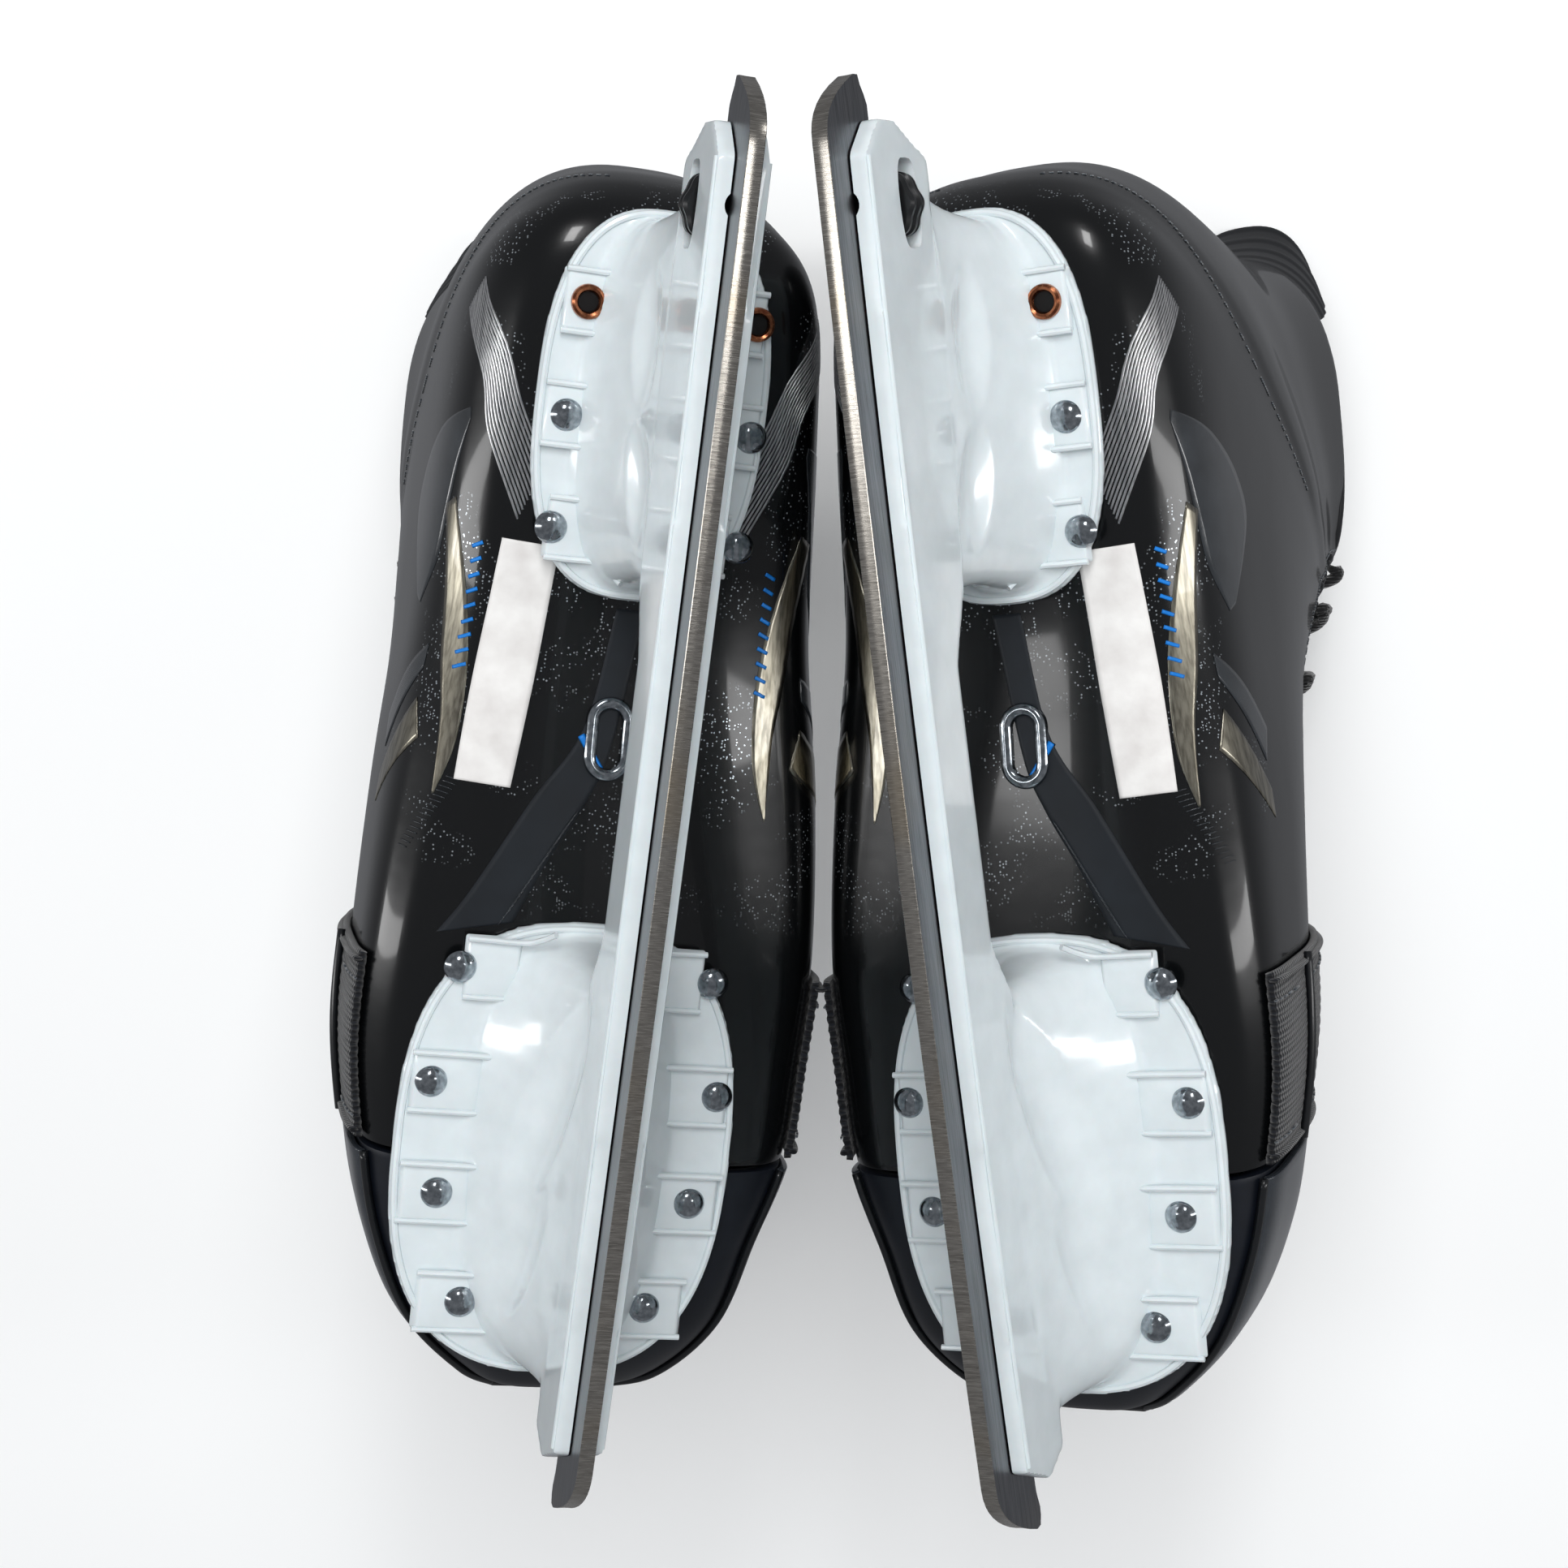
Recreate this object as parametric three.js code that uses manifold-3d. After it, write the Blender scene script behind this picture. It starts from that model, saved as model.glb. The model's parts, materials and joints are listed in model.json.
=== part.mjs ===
// A pair of ice-hockey skates lying soles up, leaning together at the blades.
// Millimetres. One skate is modelled upright in its own frame, and the pair is turned over at the end:
// x points to the outer side of the foot, y to the toe, z from the blade's edge up to the boot, and the
// origin is the middle of the running edge.
import * as THREE from 'three';
import { mergeVertices } from 'three/addons/utils/BufferGeometryUtils.js';
import Module from 'manifold-3d';

const wasm = await Module();
wasm.setup();

// Clearances
const fit = 0.3;                  // between pieces that touch
const slotFit = 0.3;              // runner in the holder's slot, each side
const pairGap = 0.6;              // between the two boots where they lean together

// How the pair lies
const lean = 19.8;                // blade towards the middle, degrees
const toeOut = 6.5;

// Steel runner
const runnerLength = 271;
const runnerThickness = 3;
const runnerRocker = 3000;        // radius of the running edge
const runnerShown = 8;            // steel below the holder at mid-length
const runnerInSlot = 11;
const runnerHeelRise = 14.6;
const runnerToeRise = 20;
const runnerHeelPast = 8;         // it stands out past the holder's ends
const runnerToePast = 9.5;

// Blade holder
const barWidth = 9.6;
const barHeel = -runnerLength / 2 + runnerHeelPast;
const barToe = runnerLength / 2 - runnerToePast;
const bridgeTop = 25;
const plateThickness = 3.2;
const frontPlateZ = 59.3;         // underside, at y = 0
const frontPlateSlope = 0.085;
const frontPlate = { heel: 28.4, toe: 121, lateral: 36, medial: 33.4 };
const rearPlateZ = 66.5;
const rearPlate = { heel: -113, toe: -36, lateral: 22.7, medial: 24 };
const windowBottom = 23.5;        // the opening for the lock's wheel
const windowClear = 1;            // round the wheel
const windowAbove = 1.8;

// Quick-release lock
const wheelRadius = 7;
const wheelHeight = 6;
const wheelScallops = 8;
const wheelBelow = 1.2;           // clear of the window's floor
const wheelFromEnd = 14.5;        // its axis, from the holder's heel end
const studRadius = 2.2;

const wheelY = barHeel + wheelFromEnd;
const windowHeel = wheelY - wheelRadius - windowClear;
const windowToe = wheelY + wheelRadius + windowClear;
const wheelLow = windowBottom + wheelBelow;
const windowTop = wheelLow + wheelHeight + windowAbove;

// Rivets
const rivetHead = 3.3;
const rivetHeadHeight = 2;
const rivetShank = 1.6;
const copperHead = 3.4;
const copperBore = 2.2;
const frontRivets = [[25.7, 38.3], [29.2, 61.6], [25.9, 84], [18.9, 106.1]];
const rearRivets = [[18.6, -71.3], [19, -49.2]];
const copperRivets = [[17, -93.4]];
const frontRivetShift = 0.5;
const rearRivetShift = -2.1;

// Boot
const bootToe = 134;
const bootHeel = -121.5;
const toeCapEnd = 78;
const toeHeight = 62;
const forefootLateral = 44.5;
const forefootMedial = 50;
const heelLateral = 35;
const heelMedial = 36;
const cuffLateral = 30;
const cuffMedial = 32;
const throatHalf = 20;
const cuffHeight = 235;
const cuffFront = -22;
const cuffBack = -101;
const shellWall = 3.4;
const toeWall = 3;
const boardThickness = 1.6;
const linerThickness = 2.6;
const footbedThickness = 3;
const tongueThickness = 7;
const tongueRise = 41;
const tongueFlare = 10;
const tendonRise = 43;
const tendonFlare = 9;
const tendonWall = 3.2;
const bandWidth = 38;
const bandThickness = 1.6;
const shieldThickness = 1.8;
const laceRadius = 1.8;
const laceCrossings = 8;
const laceLift = 1.3;             // its clearance over the eyestays
const ventLength = 17;
const ventWidth = 10;
const ventRim = 2.6;
const ventHeight = 1.4;
const ventY = -8;

const point = (x, y, z) => new THREE.Vector3(x, y, z);
const mix = THREE.MathUtils.lerp;
const degrees = THREE.MathUtils.degToRad;

// --- Closed bodies -------------------------------------------------------------------------------

// A closed body from points and faces, with its faces turned outward.
function body(points, faces) {
  const geometry = new THREE.BufferGeometry();
  geometry.setAttribute('position', new THREE.Float32BufferAttribute(points.flatMap((p) => p.toArray()), 3));
  let volume = 0;
  for (const [a, b, c] of faces) {
    volume += points[a].dot(points[b].clone().cross(points[c]));
  }
  geometry.setIndex(faces.flatMap(([a, b, c]) => (volume > 0 ? [a, b, c] : [a, c, b])));
  return mergeVertices(geometry, 1e-4);
}

function quad(a, b, c, d) {
  return [[a, b, c], [a, c, d]];
}

// A sheet with thickness: two equal grids of points, joined along all four edges.
function sheet(outer, inner) {
  const rows = outer.length;
  const columns = outer[0].length;
  const at = (side, i, j) => (side * rows + i) * columns + j;
  const faces = [];
  for (let i = 0; i < rows - 1; i++) {
    for (let j = 0; j < columns - 1; j++) {
      faces.push(...quad(at(0, i, j), at(0, i + 1, j), at(0, i + 1, j + 1), at(0, i, j + 1)));
      faces.push(...quad(at(1, i, j), at(1, i, j + 1), at(1, i + 1, j + 1), at(1, i + 1, j)));
    }
    const last = columns - 1;
    faces.push(...quad(at(0, i, 0), at(1, i, 0), at(1, i + 1, 0), at(0, i + 1, 0)));
    faces.push(...quad(at(0, i, last), at(0, i + 1, last), at(1, i + 1, last), at(1, i, last)));
  }
  for (let j = 0; j < columns - 1; j++) {
    const last = rows - 1;
    faces.push(...quad(at(0, 0, j), at(0, 0, j + 1), at(1, 0, j + 1), at(1, 0, j)));
    faces.push(...quad(at(0, last, j + 1), at(0, last, j), at(1, last, j), at(1, last, j + 1)));
  }
  return body([...outer.flat(), ...inner.flat()], faces);
}

// Rings of equal length joined in order; each end is closed by a fan, unless the rings close on themselves.
function rings(loops, closed = false) {
  const count = loops[0].length;
  const points = loops.flat();
  const faces = [];
  const spans = closed ? loops.length : loops.length - 1;
  for (let i = 0; i < spans; i++) {
    const next = (i + 1) % loops.length;
    for (let j = 0; j < count; j++) {
      const k = (j + 1) % count;
      faces.push(...quad(i * count + j, i * count + k, next * count + k, next * count + j));
    }
  }
  if (!closed) {
    for (const [loop, start, flip] of [[loops[0], 0, true], [loops.at(-1), (loops.length - 1) * count, false]]) {
      const centre = loop.reduce((sum, p) => sum.add(p), point(0, 0, 0)).divideScalar(count);
      points.push(centre);
      for (let j = 0; j < count; j++) {
        const edge = [start + j, start + (j + 1) % count];
        faces.push(flip ? [edge[1], edge[0], points.length - 1] : [edge[0], edge[1], points.length - 1]);
      }
    }
  }
  return body(points, faces);
}

function solidOf(geometry) {
  const plain = geometry.clone();
  plain.deleteAttribute('normal');
  plain.deleteAttribute('uv');
  const merged = mergeVertices(plain, 1e-4);
  return new wasm.Manifold(new wasm.Mesh({
    numProp: 3,
    vertProperties: new Float32Array(merged.attributes.position.array),
    triVerts: new Uint32Array(merged.index.array),
  }));
}

function geometryOf(solid) {
  const mesh = solid.getMesh();
  const geometry = new THREE.BufferGeometry();
  geometry.setAttribute('position', new THREE.BufferAttribute(Float32Array.from(mesh.vertProperties), 3));
  geometry.setIndex(new THREE.BufferAttribute(Uint32Array.from(mesh.triVerts), 1));
  return geometry;
}

function joined(...geometries) {
  return geometries.map(solidOf).reduce((all, next) => all.add(next));
}

function without(solid, ...geometries) {
  return geometries.map(solidOf).reduce((all, next) => all.subtract(next), solid);
}

// An outline in the y-z plane, made into a plate centred on x = 0.
function sidePlate(outline, width) {
  const shape = new THREE.Shape(outline.map(([y, z]) => new THREE.Vector2(y, z)));
  const geometry = new THREE.ExtrudeGeometry(shape, { depth: width, bevelEnabled: false, curveSegments: 6 });
  geometry.translate(0, 0, -width / 2);
  geometry.applyMatrix4(new THREE.Matrix4().set(0, 0, 1, 0, 1, 0, 0, 0, 0, 1, 0, 0, 0, 0, 0, 1));
  return geometry;
}

function block(x, y, z, size) {
  return new THREE.BoxGeometry(...size).translate(x, y, z);
}

// A turned piece standing on z, from [radius, z] pairs.
function turned(profile, sides) {
  const geometry = new THREE.LatheGeometry(profile.map(([r, z]) => new THREE.Vector2(r, z)), sides);
  return geometry.rotateX(Math.PI / 2);
}

// --- The boot's surface --------------------------------------------------------------------------

function frontPlateUnder(y) {
  return frontPlateZ - frontPlateSlope * y;
}

const soleFront = (y) => frontPlateUnder(y) + plateThickness + fit;
const soleRear = rearPlateZ + plateThickness + fit;

// Stations from the toe, round the heel, to the cuff's rim. Each is a plane across the boot from a
// point on the sole or heel line to one on the instep line (y and z), with the half widths there, the
// height share of the widest place, how square the bottom and the top are, and the throat's half width.
const arch = (soleFront(30) + soleRear) / 2;
const ballY = (toeCapEnd + bootToe - 20) / 2;
const stations = [
  { low: [bootToe - 1, 70], high: [bootToe - 0.5, 88], wide: [6, 16], at: 0.5, base: 2.4, crown: 2.2, open: 0 },
  { low: [bootToe - 6, 61], high: [bootToe - 5.5, 101], wide: [14.5, 28], at: 0.45, base: 3, crown: 2.4, open: 0 },
  { low: [bootToe - 20, soleFront(bootToe - 28)], high: [bootToe - 20, toeHeight + 50], wide: [28.5, 38], at: 0.42,
    base: 4, crown: 2.4, open: 0 },
  { low: [ballY, soleFront(ballY)], high: [ballY, toeHeight + 55], wide: [37, 43], at: 0.4, base: 5, crown: 2.4,
    open: 0 },
  { low: [toeCapEnd, soleFront(toeCapEnd)], high: [toeCapEnd, toeHeight + 59], wide: [41.5, 48.5], at: 0.38,
    base: 5, crown: 2.3, open: 2 },
  { low: [58, soleFront(58)], high: [58, toeHeight + 65], wide: [forefootLateral, forefootMedial], at: 0.38,
    base: 5, crown: 2.3, open: 13 },
  { low: [34, soleFront(34)], high: [40, toeHeight + 73], wide: [44.1, 51], at: 0.4, base: 5, crown: 2.2, open: 17 },
  { low: [0, arch], high: [18, 152], wide: [42, 49.5], at: 0.42, base: 4.5, crown: 2.2, open: 19 },
  { low: [-34, soleRear], high: [2, 172], wide: [39, 45.5], at: 0.44, base: 4.5, crown: 2.2, open: throatHalf },
  { low: [-72, soleRear], high: [-8, 190], wide: [38, 42], at: 0.44, base: 5, crown: 2.2, open: throatHalf },
  { low: [-104, soleRear], high: [-13, 202], wide: [37, 39.5], at: 0.46, base: 4.5, crown: 2.3, open: throatHalf },
  { low: [-117, soleRear + 9], high: [-16, 209], wide: [36, 38], at: 0.48, base: 3.2, crown: 2.3, open: throatHalf },
  { low: [bootHeel + 0.8, soleRear + 28], high: [-18, 215], wide: [heelLateral, heelMedial], at: 0.5, base: 2.8,
    crown: 2.4, open: throatHalf },
  { low: [bootHeel, soleRear + 50], high: [-20, 220], wide: [33, 34], at: 0.5, base: 2.6, crown: 2.4, open: throatHalf },
  { low: [-115, 152], high: [-21, 225], wide: [31.5, 33], at: 0.5, base: 2.5, crown: 2.4, open: throatHalf },
  { low: [-105, 192], high: [cuffFront, 229], wide: [cuffLateral, cuffMedial], at: 0.5, base: 2.5, crown: 2.4,
    open: throatHalf },
  { low: [cuffBack, cuffHeight], high: [cuffFront, cuffHeight - 2], wide: [cuffLateral, cuffMedial], at: 0.5,
    base: 2.5, crown: 2.4, open: throatHalf },
];
const turnStep = 0.125;
const toeJoint = 4;
const rim = stations.length - 1;
const eyeletsFrom = toeJoint + 2.3;
const eyeletsTo = rim - 0.2;

// A smooth value between stations.
function along(u, pick) {
  const i = Math.min(Math.floor(u), rim - 1);
  const t = u - i;
  const [a, b, c, d] = [i - 1, i, i + 1, i + 2].map((k) => pick(stations[THREE.MathUtils.clamp(k, 0, rim)]));
  const m0 = (c - a) / 2;
  const m1 = (d - b) / 2;
  return (2 * t ** 3 - 3 * t ** 2 + 1) * b + (t ** 3 - 2 * t ** 2 + t) * m0
    + (3 * t ** 2 - 2 * t ** 3) * c + (t ** 3 - t ** 2) * m1;
}

// The section at station u, drawn in by inset: u runs toe to rim, and turn runs from -1 (throat, inner side)
// through 0 (sole or heel line) to 1 (throat, outer side).
function sectionAt(u, inset) {
  const low = point(0, along(u, (s) => s.low[0]), along(u, (s) => s.low[1]));
  const high = point(0, along(u, (s) => s.high[0]), along(u, (s) => s.high[1]));
  const up = high.clone().sub(low).normalize();
  return {
    low: low.addScaledVector(up, inset),
    high: high.addScaledVector(up, -inset),
    lateral: along(u, (s) => s.wide[0]) - inset,
    medial: along(u, (s) => s.wide[1]) - inset,
    at: along(u, (s) => s.at),
    base: along(u, (s) => s.base),
    crown: along(u, (s) => s.crown),
    open: Math.max(along(u, (s) => s.open), 0),
  };
}

function onSection(section, turn, open = section.open) {
  const side = turn < 0 ? -1 : 1;
  const half = turn < 0 ? section.medial : section.lateral;
  const share = Math.abs(turn);
  let x;
  let rise;
  if (share <= 0.5) {
    const angle = share * Math.PI;
    x = half * Math.sin(angle) ** (2 / section.base);
    rise = section.at * (1 - Math.cos(angle) ** (2 / section.base));
  } else {
    const angle = (share - 0.5) * Math.PI;
    x = open + (half - open) * Math.max(Math.cos(angle), 0) ** (2 / section.crown);
    rise = section.at + (1 - section.at) * Math.sin(angle) ** (2 / section.crown);
  }
  const place = section.low.clone().lerp(section.high, rise);
  place.x = side * x;
  return place;
}

const bootPoint = (u, turn, inset) => onSection(sectionAt(u, inset), turn);

// Places from one side of the throat to the other: turns on each side, and shares of the gap between.
function acrossThroat(lowest) {
  const turns = steps(lowest, 1, Math.round((1 - lowest) / turnStep));
  return [
    ...turns.map((turn) => ({ turn })),
    { share: 0.4 },
    { share: -0.4 },
    ...turns.map((turn) => ({ turn: -turn })).reverse(),
  ];
}

function overPoint(u, across, inset) {
  const section = sectionAt(u, inset);
  if (across.turn) {
    return onSection(section, across.turn);
  }
  const place = section.high.clone();
  place.x = across.share * section.open;
  return place;
}

// The station whose sole line is at y.
function stationAt(y) {
  let [low, high] = [0, 9];
  for (let i = 0; i < 30; i++) {
    const middle = (low + high) / 2;
    if (along(middle, (s) => s.low[0]) > y) {
      low = middle;
    } else {
      high = middle;
    }
  }
  return low;
}

function steps(from, to, count) {
  return Array.from({ length: count + 1 }, (_, i) => mix(from, to, i / count));
}

// Every layer of the boot shares these stations and turns, so that layers stay parallel.
const bandRows = [toeCapEnd - 1, 68, 58, 48, toeCapEnd - 1 - bandWidth].map(stationAt);
const shellRows = [toeJoint + 0.02, ...bandRows, ...steps(7, rim, rim - 7)];
const toeRows = [0, 0.5, 1, 2, 3, toeJoint - fit / 18];
const turnsTo = (last) => steps(-last, last, Math.round(2 * last / turnStep));
const rowsBetween = (first, last) => shellRows.filter((u) => u >= first && u <= last);

function grid(us, vs, place) {
  return us.map((u) => vs.map((v) => place(u, v)));
}

// --- Boot pieces ---------------------------------------------------------------------------------

const rivetPlaces = [
  ...[...frontRivets.map(([x, y]) => [x, y, frontRivetShift, 'front']),
    ...rearRivets.map(([x, y]) => [x, y, rearRivetShift, 'rear']),
    ...copperRivets.map(([x, y]) => [x, y, rearRivetShift, 'copper'])]
    .flatMap(([x, y, shift, kind]) => [[x + shift, y, kind, 'outer'], [shift - x, y, kind, 'inner']]),
];

function plateUnderAt(y) {
  return y > 0 ? frontPlateUnder(y) : rearPlateZ;
}

// The rivets' holes, with room below the plate for their heads.
function rivetHoles() {
  return rivetPlaces.map(([x, y]) => {
    const under = plateUnderAt(y);
    const low = under - rivetHeadHeight - 3;
    const high = under + plateThickness + shellWall + 8;
    const wide = Math.max(rivetHead, copperHead) + fit;
    const narrow = rivetShank + fit;
    return turned([[0, low], [wide, low], [wide, under], [narrow, under], [narrow, high], [0, high]], 8)
      .translate(x, y, 0);
  });
}

function oval(length, width, count = 16) {
  const straight = (length - width) / 2;
  return Array.from({ length: count }, (_, i) => {
    const angle = (i + 0.5) / count * 2 * Math.PI;
    return [Math.cos(angle) * width / 2, Math.sin(angle) * width / 2 + Math.sign(Math.sin(angle)) * straight];
  });
}

function bootShell() {
  const us = shellRows;
  const turns = turnsTo(1);
  const wall = sheet(
    grid(us, turns, (u, turn) => bootPoint(u, turn, 0)),
    grid(us, turns, (u, turn) => bootPoint(u, turn, shellWall)),
  );
  const vent = rings([arch - 8, arch + 10].map((z) =>
    oval(ventLength - 2 * ventRim, ventWidth - 2 * ventRim).map(([x, y]) => point(x, y + ventY, z))));
  return geometryOf(without(solidOf(wall), ...rivetHoles(), vent));
}

function toeCap() {
  const us = toeRows;
  const turns = turnsTo(1).slice(0, -1);
  const skin = (inset) => us.map((u, i) => {
    const section = sectionAt(u, inset);
    const back = inset * (1 - i / (us.length - 1));
    return turns.map((turn) => onSection(section, turn, 0).setY(onSection(section, turn, 0).y - back));
  });
  const cup = rings([...skin(0), ...skin(toeWall).reverse()]);
  return geometryOf(without(solidOf(cup), ...rivetHoles()));
}

function insoleBoard() {
  const us = rowsBetween(toeJoint + 0.5, 9);
  const turns = turnsTo(0.25);
  const depth = shellWall + fit;
  return sheet(
    grid(us, turns, (u, turn) => bootPoint(u, turn, depth)),
    grid(us, turns, (u, turn) => bootPoint(u, turn, depth + boardThickness)),
  );
}

// How far in a layer lies on the floor of the boot and on its walls.
function layer(turn, onWall, onFloor) {
  const share = THREE.MathUtils.smoothstep(Math.abs(turn), 0.37, 0.6);
  return mix(onFloor, onWall, share);
}

const linerOut = (turn) => layer(turn, shellWall + fit, shellWall + boardThickness + 2 * fit);

function liner() {
  const us = rowsBetween(7, rim);
  const turns = turnsTo(0.875);
  return sheet(
    grid(us, turns, (u, turn) => bootPoint(u, turn, linerOut(turn))),
    grid(us, turns, (u, turn) => bootPoint(u, turn, linerOut(turn) + linerThickness)),
  );
}

function footbed() {
  const us = [2, 3, ...rowsBetween(toeJoint, 9)];
  const turns = turnsTo(0.25);
  const depth = shellWall + boardThickness + linerThickness + 3 * fit;
  return sheet(
    grid(us, turns, (u, turn) => bootPoint(u, turn, depth)),
    grid(us, turns, (u, turn) => bootPoint(u, turn, depth + footbedThickness)),
  );
}

const tongueInset = shellWall + linerThickness + 2 * fit;
const tongueAcross = acrossThroat(0.75);

function tongue() {
  const us = [3, ...rowsBetween(toeJoint, rim)];
  return sheet(
    grid(us, tongueAcross, (u, across) => overPoint(u, across, tongueInset)),
    grid(us, tongueAcross, (u, across) => overPoint(u, across, tongueInset + tongueThickness)),
  );
}

// The tongue above the top eyelets: it carries on up the shin and flares forward, with a round end.
function tongueTop() {
  const rows = steps(0, 1, 4);
  const leaf = (inset) => rows.map((t) => tongueAcross.map((across) => {
    const place = overPoint(rim, across, inset);
    const out = place.x / cuffMedial;
    place.x *= 1 - 0.35 * t ** 3;
    place.y += tongueFlare * t ** 2;
    place.z += fit + tongueRise * t * (1 - 0.2 * out ** 2);
    return place;
  }));
  return sheet(leaf(tongueInset), leaf(tongueInset + tongueThickness));
}

function tendonGuard() {
  const rows = steps(0, 1, 4);
  const turns = steps(-0.34, 0.34, 8);
  const leaf = (inset) => rows.map((t) => turns.map((turn) => {
    const place = bootPoint(rim, turn, inset);
    place.x *= 1 - 0.3 * t ** 2;
    place.y -= tendonFlare * t ** 2;
    place.z += fit + tendonRise * t * (1 - 1.6 * turn ** 2);
    return place;
  }));
  return sheet(leaf(0), leaf(tendonWall));
}

function forefootBand() {
  const places = acrossThroat(0.375);
  return sheet(
    grid(bandRows, places, (u, across) => overPoint(u, across, -fit - bandThickness)),
    grid(bandRows, places, (u, across) => overPoint(u, across, -fit)),
  );
}

// A guard round the toe at its widest: outer side, tip, inner side.
function toeShield() {
  const heights = [0.375, 0.5, 0.625];
  const route = [...toeRows.map((u) => [u, 1]).reverse(), ...toeRows.map((u) => [u, -1])];
  const skin = (inset) => route.map(([u, side]) => heights.map((turn) => {
    const place = bootPoint(u, side * turn, inset);
    const forward = Math.max(0, 1 - u / 2);
    return place.setY(place.y - inset * forward);
  }));
  return sheet(skin(-fit - shieldThickness), skin(-fit));
}

function ventGrommet() {
  const low = arch - fit - ventHeight;
  const at = (length, width, z) => oval(length, width).map(([x, y]) => point(x, y + ventY, z));
  const inner = [ventLength - 2 * ventRim, ventWidth - 2 * ventRim];
  return rings([
    at(ventLength, ventWidth, low + ventHeight),
    at(ventLength, ventWidth, low + ventHeight / 3),
    at(ventLength - ventRim, ventWidth - ventRim, low),
    at(...inner, low + ventHeight / 3),
    at(...inner, low + ventHeight),
  ], true);
}

// The station on the instep line at a share of the way from the lowest eyelets to the top ones.
function eyeletStation(share) {
  const rows = steps(eyeletsFrom, eyeletsTo, 60);
  const places = rows.map((u) => sectionAt(u, 0).high);
  const run = [0];
  for (let i = 1; i < rows.length; i++) {
    run.push(run[i - 1] + places[i].distanceTo(places[i - 1]));
  }
  const goal = share * run.at(-1);
  const i = Math.max(1, run.findIndex((distance) => distance >= goal - 1e-9));
  return mix(rows[i - 1], rows[i], (goal - run[i - 1]) / (run[i] - run[i - 1]));
}

// One lace over the eyestays: across the throat, round an open bend at each pair of eyelets, and back.
function lace() {
  const route = [];
  const add = (share, turn) => {
    route.push(overPoint(eyeletStation(share / laceCrossings), { turn }, -laceRadius - laceLift));
  };
  for (let i = 0; i < laceCrossings; i++) {
    const side = i % 2 ? -1 : 1;
    add(i, 0.97 * side);
    add(i + 0.5, -0.97 * side);
    add(i + 0.75, -0.86 * side);
  }
  const path = new THREE.CatmullRomCurve3(route, false, 'centripetal');
  const ring = Array.from({ length: 6 }, (_, i) => {
    const angle = i / 6 * 2 * Math.PI;
    return new THREE.Vector2(Math.cos(angle) * laceRadius, Math.sin(angle) * laceRadius);
  });
  return new THREE.ExtrudeGeometry(new THREE.Shape(ring), {
    steps: laceCrossings * 8, extrudePath: path, bevelEnabled: false,
  });
}

// --- Blade holder, runner and lock ---------------------------------------------------------------

const rockerAt = (y) => y ** 2 / (2 * runnerRocker);

// A rounded outline at height z, between two y values, with half widths to the outer and inner side.
function ringAt({ heel, toe, lateral, medial }, height, square, count = 20) {
  return Array.from({ length: count }, (_, i) => {
    const angle = i / count * 2 * Math.PI;
    const c = Math.cos(angle);
    const s = Math.sin(angle);
    const x = Math.sign(c) * Math.abs(c) ** (2 / square) * (c > 0 ? lateral : medial);
    const y = (heel + toe) / 2 + Math.sign(s) * Math.abs(s) ** (2 / square) * (toe - heel) / 2;
    return point(x, y, height(y));
  });
}

// A tower from the bar to its plate, narrow at the bar and flared under the plate.
function tower(plate, under, foot, waist) {
  const half = barWidth / 2;
  const levels = [0, 0.3, 0.6, 0.85, 1];
  const flare = [0, 0.06, 0.2, 0.4, 0.55];
  const loops = levels.map((level, i) => ringAt({
    heel: mix(foot.heel, plate.heel + 2, level) + waist * Math.sin(level * Math.PI),
    toe: mix(foot.toe, plate.toe - 2, level) - waist * Math.sin(level * Math.PI),
    lateral: mix(half - 0.2, plate.lateral, flare[i]),
    medial: mix(half - 0.2, plate.medial, flare[i]),
  }, (y) => mix(foot.z, under(y) + 0.5, level), 2.8));
  return rings(loops);
}

function mountingPlate(plate, under) {
  return rings([0, plateThickness].map((rise) => ringAt(plate, (y) => under(y) + rise, 2.6, 24)));
}

// The side profile of the bar, heel nose to toe nose and back.
function barOutline() {
  const low = steps(barHeel + 6, barToe - 6, 8).map((y) => [y, runnerShown + rockerAt(y)]);
  return [
    [barHeel, runnerHeelRise + 3],
    ...low,
    [barToe, runnerToeRise + 2],
    [barToe - 3, bridgeTop + 6],
    [frontPlate.heel + 6, bridgeTop + 8],
    [frontPlate.heel - 6, bridgeTop],
    [rearPlate.toe + 6, bridgeTop],
    [rearPlate.toe - 8, bridgeTop + 8],
    [windowHeel, windowTop + 7],
    [barHeel, windowBottom + 2],
  ];
}

function runnerTop(y) {
  return runnerShown + runnerInSlot + rockerAt(y);
}

function holder() {
  const rear = tower(rearPlate, () => rearPlateZ, { heel: windowHeel + 1, toe: rearPlate.toe - 6, z: windowTop }, 2);
  const front = tower(frontPlate, frontPlateUnder, { heel: frontPlate.heel + 4, toe: barToe - 4, z: bridgeTop - 8 }, 2);
  const whole = joined(
    sidePlate(barOutline(), barWidth),
    mountingPlate(frontPlate, frontPlateUnder),
    mountingPlate(rearPlate, () => rearPlateZ),
    front,
    rear,
  );
  const slotTop = steps(-runnerLength / 2 - 2, runnerLength / 2 + 2, 8).map((y) => [y, runnerTop(y) + fit]);
  const slot = sidePlate([[-runnerLength, -1], [runnerLength, -1], ...slotTop.reverse()], runnerThickness + 2 * slotFit);
  const window = block(0, (windowHeel + windowToe) / 2, (windowBottom + windowTop) / 2,
    [barWidth * 6, windowToe - windowHeel, windowTop - windowBottom]);
  const studHole = turned([[0, 4], [studRadius + fit, 4], [studRadius + fit, windowTop + 8], [0, windowTop + 8]], 12)
    .translate(0, wheelY, 0);
  return geometryOf(without(whole, slot, window, studHole, ...rivetHoles()));
}

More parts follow.
